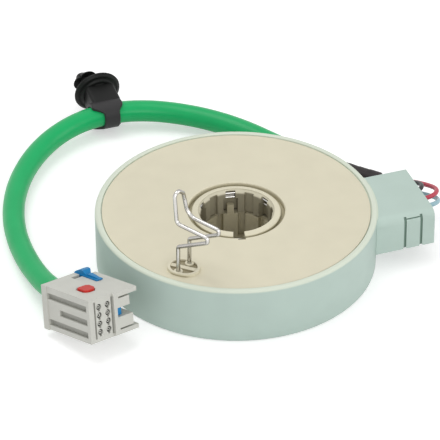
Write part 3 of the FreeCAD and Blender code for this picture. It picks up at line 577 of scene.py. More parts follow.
FINISHES = {finish.slot: finish for finish in (
    Finish("mint_plastic", (186, 205, 196), Grain.MOULDED, 0.45, gloss=0.35,
           painted_zones=(PAINTED_RIM_HIGHLIGHT, SLOT_FRONT_PAINTED_SHADE, SLOT_TOP_PAINTED_SHADE)),
    Finish("beige_plastic", (222, 216, 192), Grain.MOULDED, 0.5, gloss=0.3,
           painted_zones=(BORE_PAINTED_SHADE, GROOVE_PAINTED_SHADE, POCKET_PAINTED_SHADE)),
    Finish("hub_plastic", (186, 178, 150), Grain.MOULDED, 0.45, gloss=0.3),
    # The steel's rim tone is a painted dark reflection.
    Finish("spring_steel", (226, 224, 220), Grain.DRAWN, 0.16, metallic=1.0, rim=(70, 66, 58)),
    Finish("contact_brass", (205, 190, 150), Grain.DRAWN, 0.3, metallic=1.0),
    Finish("board", (58, 92, 66), Grain.LAMINATE, 0.4),
    Finish("lead_black", (30, 30, 32), Grain.EXTRUDED, 0.35),
    Finish("lead_red", (190, 60, 80), Grain.EXTRUDED, 0.35),
    Finish("lead_blue", (152, 188, 198), Grain.EXTRUDED, 0.35),
    Finish("sleeve_green", (0, 176, 100), Grain.EXTRUDED, 0.36, gloss=0.35),
    Finish("tape_black", (48, 42, 42), Grain.WOUND, 0.55, gloss=0.3),
    Finish("clip_black", (18, 19, 18), Grain.FINE, 0.45, gloss=0.2),
    Finish("strap_grey", (50, 49, 50), Grain.FINE, 0.5, gloss=0.25),
    Finish("plug_grey", (206, 206, 198), Grain.FINE, 0.45, gloss=0.35, painted_zones=(CHANNELS_PAINTED_SHADE,)),
    Finish("lock_red", (198, 40, 28), Grain.FINE, 0.4, gloss=0.35),
    Finish("lock_blue", (10, 126, 186), Grain.FINE, 0.38, gloss=0.35),
)}
MATERIALS = {slot: finish.build() for slot, finish in FINISHES.items()}


# Mesh building


def grid_faces(rows: int, columns: int, wrap_rows: bool) -> np.ndarray:
    """Lists the quads of a grid of points: (i, j), (i, j + 1), (i + 1, j + 1), (i + 1, j).

    Each row's last point joins its first.

    Args:
        rows: How many rows of points there are.
        columns: How many points a row has.
        wrap_rows: True if the last row joins the first.

    Returns:
        An array of four point numbers for each quad.
    """
    i, j = np.meshgrid(np.arange(rows if wrap_rows else rows - 1), np.arange(columns), indexing="ij")
    below, beside = (i + 1) % rows * columns, (j + 1) % columns
    return np.stack([i * columns + j, i * columns + beside, below + beside, below + j], -1).reshape(-1, 4)


def mesh_object(name: str, points: np.ndarray, faces: Iterable[Sequence[int]], sharp: float = 35.0,
                closed: bool = True) -> bpy.types.Object:
    """Makes an object at the origin from points in millimetres.

    Args:
        name: The piece's name.
        points: One row of x, y, z for each point.
        faces: The point numbers of each face.
        sharp: Edges that turn by more degrees than this stay sharp.
        closed: True if its faces are turned to look outward.

    Returns:
        The new object, linked to the scene.
    """
    mesh = bpy.data.meshes.new(name)
    mesh.from_pydata((np.asarray(points, float) * MM).tolist(), [], [list(face) for face in faces])
    mesh.validate()
    if closed:
        shape = bmesh.new()
        shape.from_mesh(mesh)
        bmesh.ops.recalc_face_normals(shape, faces=shape.faces)
        shape.to_mesh(mesh)
        shape.free()
    mesh.shade_smooth()
    mesh.set_sharp_from_angle(angle=math.radians(sharp))
    obj = bpy.data.objects.new(name, mesh)
    bpy.context.scene.collection.objects.link(obj)
    return obj


@dataclass
class Shell:
    """One closed surface of a piece: a grid of points in millimetres whose rows are closed rings.

    Attributes:
        points: The grid, rows by columns by x, y, z.
        ring: True if the last row joins the first, and False if those two rows are each closed by one face.
    """

    points: np.ndarray
    ring: bool = False

    def faces(self, start: int) -> list[list[int]]:
        """Lists the faces.

        Args:
            start: The number of the shell's first point.

        Returns:
            The point numbers of each face.
        """
        rows, columns = self.points.shape[:2]
        made = (grid_faces(rows, columns, self.ring) + start).tolist()
        if not self.ring:
            first = start + np.arange(columns)
            made += [first[::-1].tolist(), (first + (rows - 1) * columns).tolist()]
        return made


def joined(name: str, shells: Sequence[Shell], sharp: float = 35.0) -> bpy.types.Object:
    """Makes one object from several shells.

    Args:
        name: The piece's name.
        shells: The closed surfaces.
        sharp: Edges that turn by more degrees than this stay sharp.

    Returns:
        The new object.
    """
    starts = np.cumsum([0] + [shell.points.shape[0] * shell.points.shape[1] for shell in shells])
    faces = [face for shell, start in zip(shells, starts.tolist()) for face in shell.faces(start)]
    return mesh_object(name, np.concatenate([shell.points.reshape(-1, 3) for shell in shells]), faces, sharp)


def soften(obj: bpy.types.Object, width: float, segments: int = 3, angle: float = 30.0) -> bpy.types.Object:
    """Rounds a piece's sharp edges.

    Args:
        obj: The piece.
        width: The rounds' width, in millimetres.
        segments: How many spans a round has.
        angle: Edges that turn by more degrees than this are rounded.

    Returns:
        The same piece.
    """
    bevel = obj.modifiers.new("moulded_edge", "BEVEL")
    bevel.width = width * MM
    bevel.segments = segments
    bevel.limit_method = "ANGLE"
    bevel.angle_limit = math.radians(angle)
    bevel.harden_normals = True
    return obj


def corner_arc(back: np.ndarray, on: np.ndarray,
               radius: float) -> tuple[np.ndarray, np.ndarray, np.ndarray, float]:
    """Fits the arc that touches both sides of a corner.

    With h half of the corner's angle, the middle is radius / sin h from the corner, between its sides, and
    the arc touches each side radius / tan h from the corner.

    Args:
        back: The way back along the first side.
        on: The way on along the second.
        radius: The arc's radius.

    Returns:
        The middle from the corner, the start and the end from the middle, and the arc's sweep in radians.
    """
    back, on = back / np.linalg.norm(back), on / np.linalg.norm(on)
    half = math.acos(float(np.clip(back @ on, -1, 1))) / 2
    middle = (back + on) / np.linalg.norm(back + on) * radius / math.sin(half)
    touch = radius / math.tan(half)
    return middle, back * touch - middle, on * touch - middle, math.pi - 2 * half


def arc_points(start: np.ndarray, end: np.ndarray, sweep: float, steps: int) -> np.ndarray:
    """Divides an arc evenly: (start sin((1 - t) sweep) + end sin(t sweep)) / sin(sweep), with t from 0 to 1.

    Args:
        start: Where it starts, from its middle.
        end: Where it ends, from its middle.
        sweep: How far it turns, in radians.
        steps: How many spans it has.

    Returns:
        One row for each point, from the arc's middle.
    """
    share = np.linspace(0, 1, steps + 1)[:, None]
    return (start * np.sin((1 - share) * sweep) + end * np.sin(share * sweep)) / math.sin(sweep)


def rounded(corners: Sequence[Point], steps: int = 6) -> np.ndarray:
    """Rounds the corners of a closed outline, each with an arc that touches both of its sides.

    Args:
        corners: The corners in order as a, b and the radius.
        steps: How many spans an arc has.

    Returns:
        The outline's points, one row of a, b for each.
    """
    made = []
    for number, (a, b, radius) in enumerate(corners):
        here = np.array([a, b], float)
        if radius:
            back = np.array(corners[number - 1][:2]) - here
            on = np.array(corners[(number + 1) % len(corners)][:2]) - here
            middle, start, end, sweep = corner_arc(back, on, radius)
            made.append(here + middle + arc_points(start, end, sweep, steps))
        else:
            made.append(here[None])
    return np.concatenate(made)


def spun(profile: np.ndarray, angles: np.ndarray) -> np.ndarray:
    """Carries a profile of (radius, height) round the Z axis: x = r cos t, y = r sin t, z = h.

    Args:
        profile: The profile's points.
        angles: The angles of the stations, in radians.

    Returns:
        The grid, one row for each point of the profile.
    """
    radius, height = profile[:, :1], profile[:, 1:]
    return np.stack([radius * np.cos(angles), radius * np.sin(angles), height + 0 * angles], -1)


def tube(path: np.ndarray, radius: np.ndarray, sides: int) -> np.ndarray:
    """Carries a circle along a path: each point is the path's point plus radius times (n cos t + b sin t).

    The frame's n is carried from one station to the next by taking out its part along the path, so that it
    never twists.

    Args:
        path: The stations, one row of x, y, z for each.
        radius: The radius at each station and side, or at each station.
        sides: How many points go round.

    Returns:
        The grid, one row for each station.
    """
    along = np.gradient(path, axis=0)
    along /= np.linalg.norm(along, axis=1, keepdims=True)
    normal = np.cross(along[0], [0.0, 0.0, 1.0])
    if np.linalg.norm(normal) < 0.1:
        normal = np.cross(along[0], [1.0, 0.0, 0.0])
    normals = []
    for direction in along:
        normal = normal - direction * (normal @ direction)
        normal = normal / np.linalg.norm(normal)
        normals.append(normal)
    across = np.array(normals)
    up = np.cross(along, across)
    angle = np.linspace(0, 2 * np.pi, sides, endpoint=False)
    radius = np.broadcast_to(np.asarray(radius, float).reshape(len(path), -1), (len(path), sides))
    ring = across[:, None] * np.cos(angle)[None, :, None] + up[:, None] * np.sin(angle)[None, :, None]
    return path[:, None] + ring * radius[..., None]


def bent_path(corners: np.ndarray, radii: Sequence[float], steps: int) -> np.ndarray:
    """Rounds the inner corners of a bent line, each with an arc that touches both of its runs.

    Args:
        corners: The line's corners, from end to end.
        radii: The radius at each inner corner.
        steps: How many spans an arc has.

    Returns:
        The line's points.
    """
    made = [corners[:1]]
    for before, here, after, radius in zip(corners, corners[1:], corners[2:], radii):
        middle, start, end, sweep = corner_arc(before - here, after - here, radius)
        made.append(here + middle + arc_points(start, end, sweep, steps))
    return np.concatenate([*made, corners[-1:]])


def even_path(path: np.ndarray, step: float) -> np.ndarray:
    """Sets stations at even ways along a line.

    Args:
        path: The line's points.
        step: The way from one station to the next, at most.

    Returns:
        The stations, with both ends kept.
    """
    along = np.concatenate([[0.0], np.cumsum(np.linalg.norm(np.diff(path, axis=0), axis=1))])
    stations = np.linspace(0, along[-1], math.ceil(along[-1] / step) + 1)
    return np.stack([np.interp(stations, along, path[:, axis]) for axis in range(3)], 1)


def dress(obj: bpy.types.Object, slot: str, body: Body) -> bpy.types.Object:
    """Gives a new piece its finish, its slot and the body that it rides on.

    Args:
        obj: The piece, in place.
        slot: The record's material slot.
        body: The body that carries it.

    Returns:
        The same piece.
    """
    obj.data.materials.append(MATERIALS[slot])
    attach(obj, body.value)
    LOG.info("%s rides on %s in %s", obj.name, body.value, slot)
    return obj


# Pieces


@dataclass
class HousingCup:
    """The round cup of the housing, with its rounded rim and foot, its ledge, its floor and its bearing tube.

    Attributes:
        radius: The outer radius at the top.
        height: The height of the rim.
        rim: The rim's width.
        rim_round: The radius of the rim's outer edge.
        foot_round: The radius of the foot's edge.
        draft: How much smaller the radius is at the foot.
        draft_end: How far under the rim the draft ends.
        ledge_drop: How far under the rim the ledge is.
        ledge: How far the ledge stands in from the rim.
        seat: The inner radius and the height of the step that carries the disc.
        shelf: The outer radius and the height of the board's shelf, which the tube's side has too.
        floor: The floor's thickness.
        tube_shelf: The outer radius of the shelf on the tube's side.
        tube: The bearing tube's bore, outer radius and height.
        rim_inner: The radius of the rim's inner edge.
        seat_edge: The radius of the seat's edge.
        floor_edge: The radius where the floor meets a wall.
        tube_edge: The radius of the tube's edges.
        stations: How many points go round.
    """

    radius: float = 47.5
    height: float = 20.5
    rim: float = 2.0
    rim_round: float = 0.95
    foot_round: float = 0.8
    draft: float = 0.25
    draft_end: float = 3.0
    ledge_drop: float = 0.75
    ledge: float = 0.27
    seat: tuple[float, float] = (44.1, 17.8)
    shelf: tuple[float, float] = (42.5, 6.0)
    floor: float = 1.8
    tube_shelf: float = 18.55
    tube: tuple[float, float, float] = (14.95, 16.95, 8.0)
    rim_inner: float = 0.35
    seat_edge: float = 0.2
    floor_edge: float = 0.5
    tube_edge: float = 0.3
    stations: int = 288

    def build(self) -> None:
        """Spins the cup's profile round the bore's axis and puts it in the node's place."""
        inner = self.radius - self.rim
        under = self.height - self.ledge_drop
        (seat, seat_at), (shelf, shelf_at), (bore, tube, tube_top) = self.seat, self.shelf, self.tube
        profile = rounded([
            (bore, 0, self.tube_edge), (self.radius - self.draft, 0, self.foot_round),
            (self.radius, self.height - self.draft_end, 0), (self.radius, self.height, self.rim_round),
            (inner, self.height, self.rim_inner), (inner, under, 0), (inner - self.ledge, under, 0),
            (inner - self.ledge, seat_at, 0), (seat, seat_at, self.seat_edge), (seat, shelf_at, 0),
            (shelf, shelf_at, 0), (shelf, self.floor, self.floor_edge),
            (self.tube_shelf, self.floor, self.floor_edge), (self.tube_shelf, shelf_at, 0),
            (tube, shelf_at, 0), (tube, tube_top, self.tube_edge), (bore, tube_top, self.tube_edge),
        ])
        angles = np.linspace(0, 2 * np.pi, self.stations, endpoint=False)
        cup = joined("housing_cup", [Shell(spun(profile, angles), ring=True)])
        dress(cup, "mint_plastic", Body.BASE)
        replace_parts(cup, "housing")


@dataclass
class FormedWire:
    """The bright wire that stands on the disc: two stepped legs side by side, joined by a loop at the top.

    Attributes:
        diameter: The wire's diameter.
        spacing: The way between the two legs.
        angle: Where the boss is on the disc, in degrees.
        place: The boss's distance from the bore's axis.
        turn: The way from the near leg to the far one, in degrees.
        disc_top: The height of the disc's face.
        sink: How deep the ends stand in the disc.
        rise: The height of a leg's first upright run.
        reach: How far the leg then runs out.
        hook_rise: How much it climbs on the way out.
        hook_radius: The radius of the hook at its far end.
        return_rise: How much the leg climbs on the way back.
        back: How far past the first upright run it comes back.
        lean: How far the loop's upright runs lean further back.
        uprights: The height of the loop's upright run on the near and the far leg.
        arch: The height from the shoulders to the crown of the loop.
        shoulder_share: The loop's width at the shoulders, as a share of the spacing.
        crown_share: Its width at the crown, as a share of the spacing.
        near_bends: The radii of the near leg's bends, from its end in the disc.
        far_bends: The radii of the far leg's bends, from the crown.
        arc_steps: How many spans a bend has.
        station_way: The way from one station along the wire to the next.
        sides: How many points go round the wire.
    """

    diameter: float = 1.35
    spacing: float = 5.85
    angle: float = 223.1
    place: float = 38.3
    turn: float = 31.7
    disc_top: float = 20.1
    sink: float = 2.8
    rise: float = 10.5
    reach: float = 12.3
    hook_rise: float = 6.9
    hook_radius: float = 0.9
    return_rise: float = 0.4
    back: float = 0.5
    lean: float = 1.1
    uprights: tuple[float, float] = (9.6, 6.5)
    arch: float = 2.6
    shoulder_share: float = 0.86
    crown_share: float = 0.62
    near_bends: tuple[float, ...] = (1.2, 0.855, 0.855, 1.8, 5.0, 1.6)
    far_bends: tuple[float, ...] = (1.6, 5.0, 4.0, 0.855, 0.855, 1.2)
    arc_steps: int = 16
    station_way: float = 0.2
    sides: int = 24

    def leg(self, number: int) -> np.ndarray:
        """Gives a leg's corners, from its end in the disc to the crown of the loop.

        Args:
            number: 0 for the near leg and 1 for the far one.

        Returns:
            One row of x, y, z for each corner.
        """
        at, turn = math.radians(self.angle), math.radians(self.turn)
        base = np.array([self.place * math.cos(at), self.place * math.sin(at), self.disc_top])
        side = np.array([math.cos(turn), math.sin(turn), 0.0]) * self.spacing / 2 * (2 * number - 1)
        out = np.array([math.sin(turn), -math.cos(turn), 0.0])
        low = self.rise + self.hook_rise
        high = low + 2 * self.hook_radius
        elbow = high + self.return_rise
        shoulder = elbow + self.uprights[number]
        back = self.back + self.lean
        profile = np.array([
            (1, 0, -self.sink), (1, 0, self.rise), (1, self.reach, low), (1, self.reach, high),
            (1, -self.back, elbow), (self.shoulder_share, -back, shoulder),
            (self.crown_share, -back, shoulder + self.arch),
        ])
        return base + side * profile[:, :1] + out * profile[:, 1:2] + np.array([0, 0, 1.0]) * profile[:, 2:]

    def build(self) -> None:
        """Carries the round section along the bent path and puts it in the node's place."""
        corners = np.concatenate([self.leg(0), self.leg(1)[::-1]])
        bent = bent_path(corners, self.near_bends + self.far_bends, self.arc_steps)
        path = even_path(bent, self.station_way)
        section = tube(path, np.full(len(path), self.diameter / 2), self.sides)
        wire = joined("formed_wire", [Shell(section)], sharp=60)
        dress(wire, "spring_steel", Body.DISC)
        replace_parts(wire, "spring_wire")


SLEEVE_ROUTE = (
    (-65.68, -15.49, 10.71), (-67.9, -3.89, 7.65), (-68.73, 8.2, 5.71), (-68.64, 20.6, 4.56),
    (-67.5, 32.79, 4.07), (-64.83, 44.81, 4.05), (-60.44, 56.18, 4.29), (-54.18, 66.91, 4.71),
    (-46.11, 76.36, 5.38), (-36.34, 83.73, 6.27), (-25.16, 88.23, 6.95), (-13.17, 89.57, 6.97),
    (-1.27, 87.64, 6.29), (10.07, 82.39, 5.45), (19.8, 74.71, 4.97), (27.78, 65.27, 4.68),
    (34.33, 54.82, 4.28), (40.76, 44.14, 3.9), (48.5, 34.5, 3.9),
)


@dataclass
class CableClip:
    """The cable clip: the strap round the sleeve, and the saddle with its umbrella and fir tree.

    The clip's own frame has its middle on the sleeve's line: Y runs along the sleeve, Z is the way of the
    tree, and X is their cross product.

    Attributes:
        along: How far along the sleeve it sits, from the plug.
        lean: The way of the tree, before it is set square to the sleeve.
        strap_inner: The strap's inner radius.
        strap_outer: Its outer radius.
        strap_corner: The bevel along its outer edges.
        strap_narrow: Half of its width at the free end.
        strap_wide: How far its wide end reaches to either side.
        strap_waist: The cosines of the angles where it starts to widen and where it is wide.
        saddle: Half of the saddle's sides, across and along.
        saddle_round: The radius of its upright edges.
        saddle_foot: How far its foot is from the sleeve's line.
        umbrella_at: The height of the umbrella's foot over the sleeve's line.
        umbrella_bore: The radius of the hole in its middle, which the tree fills.
        umbrella_hub: The radius of its flat middle.
        umbrella_radius: Its radius.
        umbrella_thick: Its thickness in the middle and at the rim.
        umbrella_depth: How far its rim stands beyond its middle.
        umbrella_ribs: How many ribs run round its underside.
        umbrella_rib: The depth between them.
        tree_core: The radius of the tree's core.
        tree_fin: The radius of its fins.
        tree_root: How far the tree's foot is over the umbrella's.
        tree_pitch: The way from one fin to the next.
        tree_fins: How many fins it has.
        tree_turn: Where its two rows of fins are, in degrees from Y towards X.
        tree_shift: How far its tip leans back along the sleeve.
        tree_tooth: How steeply a fin rises, and how much of its rise is cut off.
        edge: The width of the rounds along the mount's edges.
        stations: How many points go round.
    """

    along: float = 132.6
    lean: Point = (-0.205, 0.965, 0.17)
    strap_inner: float = 3.82
    strap_outer: float = 5.0
    strap_corner: float = 0.3
    strap_narrow: float = 2.8
    strap_wide: tuple[float, float] = (6.6, 4.7)
    strap_waist: tuple[float, float] = (-0.75, -0.1)
    saddle: tuple[float, float] = (4.4, 5.2)
    saddle_round: float = 1.2
    saddle_foot: float = 4.7
    umbrella_at: float = 10.4
    umbrella_bore: float = 1.0
    umbrella_hub: float = 3.0
    umbrella_radius: float = 8.3
    umbrella_thick: tuple[float, float] = (1.1, 0.7)
    umbrella_depth: float = 1.8
    umbrella_ribs: int = 3
    umbrella_rib: float = 0.22
    tree_core: float = 1.9
    tree_fin: float = 4.5
    tree_root: float = 0.6
    tree_pitch: float = 2.6
    tree_fins: int = 4
    tree_turn: float = 40.0
    tree_shift: float = 3.0
    tree_tooth: tuple[float, float] = (1.25, 0.15)
    edge: float = 0.15
    stations: int = 96

    def __post_init__(self) -> None:
        """Works out the stations' angles, in radians."""
        self.angles = np.linspace(0, 2 * np.pi, self.stations, endpoint=False)

    def placed(self, points: np.ndarray) -> np.ndarray:
        """Moves points from the clip's own frame to its place on the sleeve.

        Between the middles of its route's runs, the sleeve's line is a quadratic with the route's point as
        its control point.

        Args:
            points: The points in the clip's frame, in millimetres.

        Returns:
            The points in the part's frame, in the same shape.
        """
        route = np.array(SLEEVE_ROUTE)
        middles = (route[:-1] + route[1:]) / 2
        middles[0], middles[-1] = route[0], route[-1]
        share = np.linspace(0, 1, 40, endpoint=False)[:, None]
        line = np.concatenate([(1 - share) ** 2 * start + 2 * share * (1 - share) * control + share ** 2 * end
                               for start, control, end in zip(middles, route[1:-1], middles[1:])])
        way = np.concatenate([[0.0], np.cumsum(np.linalg.norm(np.diff(line, axis=0), axis=1))])
        here, ahead = (np.array([np.interp(at, way, line[:, axis]) for axis in range(3)])
                       for at in (self.along, self.along + 0.5))
        y_axis = (ahead - here) / np.linalg.norm(ahead - here)
        z_axis = np.array(self.lean) - y_axis * (y_axis @ np.array(self.lean))
        z_axis /= np.linalg.norm(z_axis)
        return here + points @ np.array([np.cross(y_axis, z_axis), y_axis, z_axis])

    def strap(self) -> bpy.types.Object:
        """Bends the strap round the sleeve; each edge goes from narrow to wide as a smooth step of cos t.

        Returns:
            The strap.
        """
        narrow_at, wide_at = self.strap_waist
        share = np.clip((np.cos(self.angles) - narrow_at) / (wide_at - narrow_at), 0, 1)
        share = share * share * (3 - 2 * share)
        back, on = (self.strap_narrow + (wide - self.strap_narrow) * share for wide in self.strap_wide)
        inner, outer, corner = self.strap_inner, self.strap_outer, self.strap_corner
        section = ((inner, -back), (outer - corner, -back), (outer, corner - back), (outer, on - corner),
                   (outer - corner, on), (inner, on))
        grid = np.stack([np.stack([radius * np.sin(self.angles), edge, radius * np.cos(self.angles)], 1)
                         for radius, edge in section], 1)
        strap = joined("sleeve_strap", [Shell(self.placed(grid), ring=True)])
        dress(strap, "strap_grey", Body.BASE)
        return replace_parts(strap, "clip_band")

    def saddle_grid(self) -> np.ndarray:
        """Stands the saddle on the strap: z = sqrt(foot^2 - x^2) below, and just inside the umbrella above.

        Returns:
            The grid in the clip's frame.
        """
        wide, long = self.saddle
        outline = rounded([(x, y, self.saddle_round) for x, y in
                           ((-wide, -long), (wide, -long), (wide, long), (-wide, long))])
        foot = np.sqrt(self.saddle_foot ** 2 - outline[:, 0] ** 2)
        top = np.full(len(outline), self.umbrella_at + 0.4)
        return np.stack([np.column_stack([outline, height]) for height in (foot, top)])

    def umbrella_grid(self) -> np.ndarray:
        """Spins the umbrella's section: its underside is at + depth * t ** 1.2 - rib * sin(ribs pi t) ** 2.

        Returns:
            The grid in the clip's frame, with t from 0 at the hub to 1 at the rim.
        """
        share = np.linspace(0, 1, 40)
        reach = self.umbrella_hub + (self.umbrella_radius - self.umbrella_hub) * share
        ribs = self.umbrella_rib * np.sin(self.umbrella_ribs * np.pi * share) ** 2
        under = self.umbrella_at + self.umbrella_depth * share ** 1.2 - ribs
        middle, rim = self.umbrella_thick
        section = np.concatenate([
            [(self.umbrella_bore, self.umbrella_at)], np.stack([reach, under], 1),
            [(self.umbrella_radius + 0.1, under[-1] + rim / 2), (self.umbrella_radius, under[-1] + rim),
             (self.umbrella_hub, self.umbrella_at + middle),
             (self.umbrella_bore, self.umbrella_at + middle)],
        ])
        return spun(section, self.angles)

    def tree_grid(self) -> np.ndarray:
        """Shapes the tree: radius = core + (fin - core) * tooth * row.

        The tooth falls from 1 to 0 over each pitch, and the row is the square root of the cosine to the fins'
        turn.

        Returns:
            The grid in the clip's frame.
        """
        height = np.linspace(0, self.tree_fins, 14 * self.tree_fins + 1)
        steep, cut = self.tree_tooth
        tooth = np.clip((1 - height % 1.0) * steep - cut, 0, 1) * (height < self.tree_fins)
        row = np.sqrt(np.abs(np.cos(self.angles - math.radians(self.tree_turn))))
        radius = self.tree_core + (self.tree_fin - self.tree_core) * tooth[:, None] * row
        upright = self.umbrella_at + self.tree_root + height * self.tree_pitch
        shift = -self.tree_shift * height / self.tree_fins
        return np.stack([radius * np.sin(self.angles), radius * np.cos(self.angles) + shift[:, None],
                         np.broadcast_to(upright[:, None], radius.shape)], -1)

    def mount(self) -> bpy.types.Object:
        """Joins the saddle, the ribbed umbrella and the fir tree.

        Returns:
            The mount.
        """
        shells = [Shell(self.placed(self.saddle_grid())), Shell(self.placed(self.umbrella_grid()), ring=True),
                  Shell(self.placed(self.tree_grid()))]
        mount = soften(joined("umbrella_mount", shells), self.edge, angle=50)
        dress(mount, "clip_black", Body.BASE)
        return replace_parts(mount, "clip_mount")

    def build(self) -> list[bpy.types.Object]:
        """Builds the strap and the mount."""
        return [self.strap(), self.mount()]


@dataclass
class Cable:
    """The green sleeve, the wound tape, and the three leads from the tape to the side box.

    Attributes:
        sleeve_diameter: The sleeve's diameter.
        lead_diameter: A lead's diameter.
        tape_diameter: The tape's diameter.
        tape_route: The tape's points.
        tape_bend: The radius at the tape's middle point.
        tape_pitch: How far the tape moves on with each turn.
        tape_step: How much the radius steps up at each overlap.
        tape_station_way: The way from one station along the tape to the next.
        tape_sides: How many points go round the tape.
        box_hole: The x and z of the holes in the box, whose way in lies just outside them.
        hole_depth: How far a lead runs on into the box, to its pin.
        lead_middle: The y of the middle lead's hole.
        lead_pitch: The way from one hole to the next.
    """

    sleeve_diameter: float = 7.6
    lead_diameter: float = 1.6
    tape_diameter: float = 7.0
    tape_route: tuple[Point, ...] = ((48.5, 34.5, 3.9), (54.6, 26.9, 4.0), (60.0, 20.6, 4.3))
    tape_bend: float = 60.0
    tape_pitch: float = 4.2
    tape_step: float = 0.13
    tape_station_way: float = 0.12
    tape_sides: int = 96
    box_hole: tuple[float, float] = (61.9, 13.2)
    hole_depth: float = 7.3
    lead_middle: float = -6.3
    lead_pitch: float = 4.2

    def curve(self, name: str, route: Sequence[Point], diameter: float) -> bpy.types.Object:
        """Lays one smooth NURBS line over the route's points, with a round section.

        Args:
            name: The piece's name.
            route: The control points, in millimetres.
            diameter: The diameter, in millimetres.

        Returns:
            The curve's object.
        """
        data = bpy.data.curves.new(name, "CURVE")
        data.dimensions = "3D"
        data.bevel_depth = diameter / 2 * MM
        data.bevel_resolution = 8
        data.resolution_u = 10
        data.use_fill_caps = True
        line = data.splines.new("NURBS")
        line.points.add(len(route) - 1)
        for point, place in zip(line.points, route):
            point.co = (*(Vector(place) * MM), 1.0)
        line.order_u = 3
        line.use_endpoint_u = True
        obj = bpy.data.objects.new(name, data)
        bpy.context.scene.collection.objects.link(obj)
        return obj

    def tape(self) -> bpy.types.Object:
        """Winds the tape: its radius steps up at each overlap, which runs round as a helix.

        With s along the tape and a round it, the winding's phase is s / pitch + a / (2 pi), and the radius
        falls by the step from one edge of a turn to the next.

        Returns:
            The tape.
        """
        bent = bent_path(np.array(self.tape_route), [self.tape_bend], steps=12)
        path = even_path(bent, self.tape_station_way)
        along = np.linspace(0, np.linalg.norm(np.diff(path, axis=0), axis=1).sum(), len(path))
        phase = along[:, None] / self.tape_pitch + np.arange(self.tape_sides) / self.tape_sides
        radius = self.tape_diameter / 2 - self.tape_step * (phase % 1.0)
        tape = joined("wound_tape", [Shell(tube(path, radius, self.tape_sides))], sharp=25)
        dress(tape, "tape_black", Body.BASE)
        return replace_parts(tape, "tape_wrap")

    def lead_routes(self) -> dict[str, list[Point]]:
        """Gives each lead's points: from the tape's end face round to its hole in the box.

        Returns:
            The points by the name of the lead's node.
        """
        before, end = (np.array(point) for point in self.tape_route[-2:])
        along = (end - before) / np.linalg.norm(end - before)
        side = -np.cross(along, [0.0, 0.0, 1.0])
        side /= np.linalg.norm(side)
        up = np.cross(along, side)
        bends = {
            "lead_black": ((-1.2, 0.8), [
                (63.7, 14.2, 7.4), (67.2, 8.4, 10.4), (68.6, 3.4, 12.6), (67.6, 0.1, 13.5),
                (65.2, -1.9, 13.6)]),
            "lead_red": ((1.4, 0.9), [
                (67.0, 14.6, 7.2), (71.5, 6.2, 9.9), (72.8, -2.2, 12.9), (69.0, -6.4, 13.5)]),
            "lead_blue": ((0.2, -1.5), [
                (66.4, 13.2, 4.3), (70.6, 5.0, 6.8), (72.3, -4.6, 10.6), (68.4, -10.4, 13.1)]),
        }
        x, z = self.box_hole
        routes = {}
        for number, (name, ((across, lift), points)) in enumerate(bends.items()):
            y = self.lead_middle + (1 - number) * self.lead_pitch
            start = tuple((end + side * across + up * lift).tolist())
            routes[name] = [start, *points, (x, y, z), (x - self.hole_depth, y, z)]
        return routes

    def build(self, carried: Sequence[bpy.types.Object]) -> None:
        """Args:
            carried: The pieces of the plug and the clip. It is not used.
        """
        tape = self.tape()
        sleeve = self.curve("green_sleeve", SLEEVE_ROUTE, self.sleeve_diameter)
        dress(sleeve, "sleeve_green", Body.BASE)
        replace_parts(sleeve, "sleeve")
        routes = self.lead_routes()
        for name, length in (("lead_black", 0.0377), ("lead_red", 0.0476), ("lead_blue", 0.0502)):
            route = routes[name]
            lead = self.curve(name.replace("lead", "insulated_lead"), route, self.lead_diameter)
            dress(lead, name, Body.BASE)
            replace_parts(lead, name)


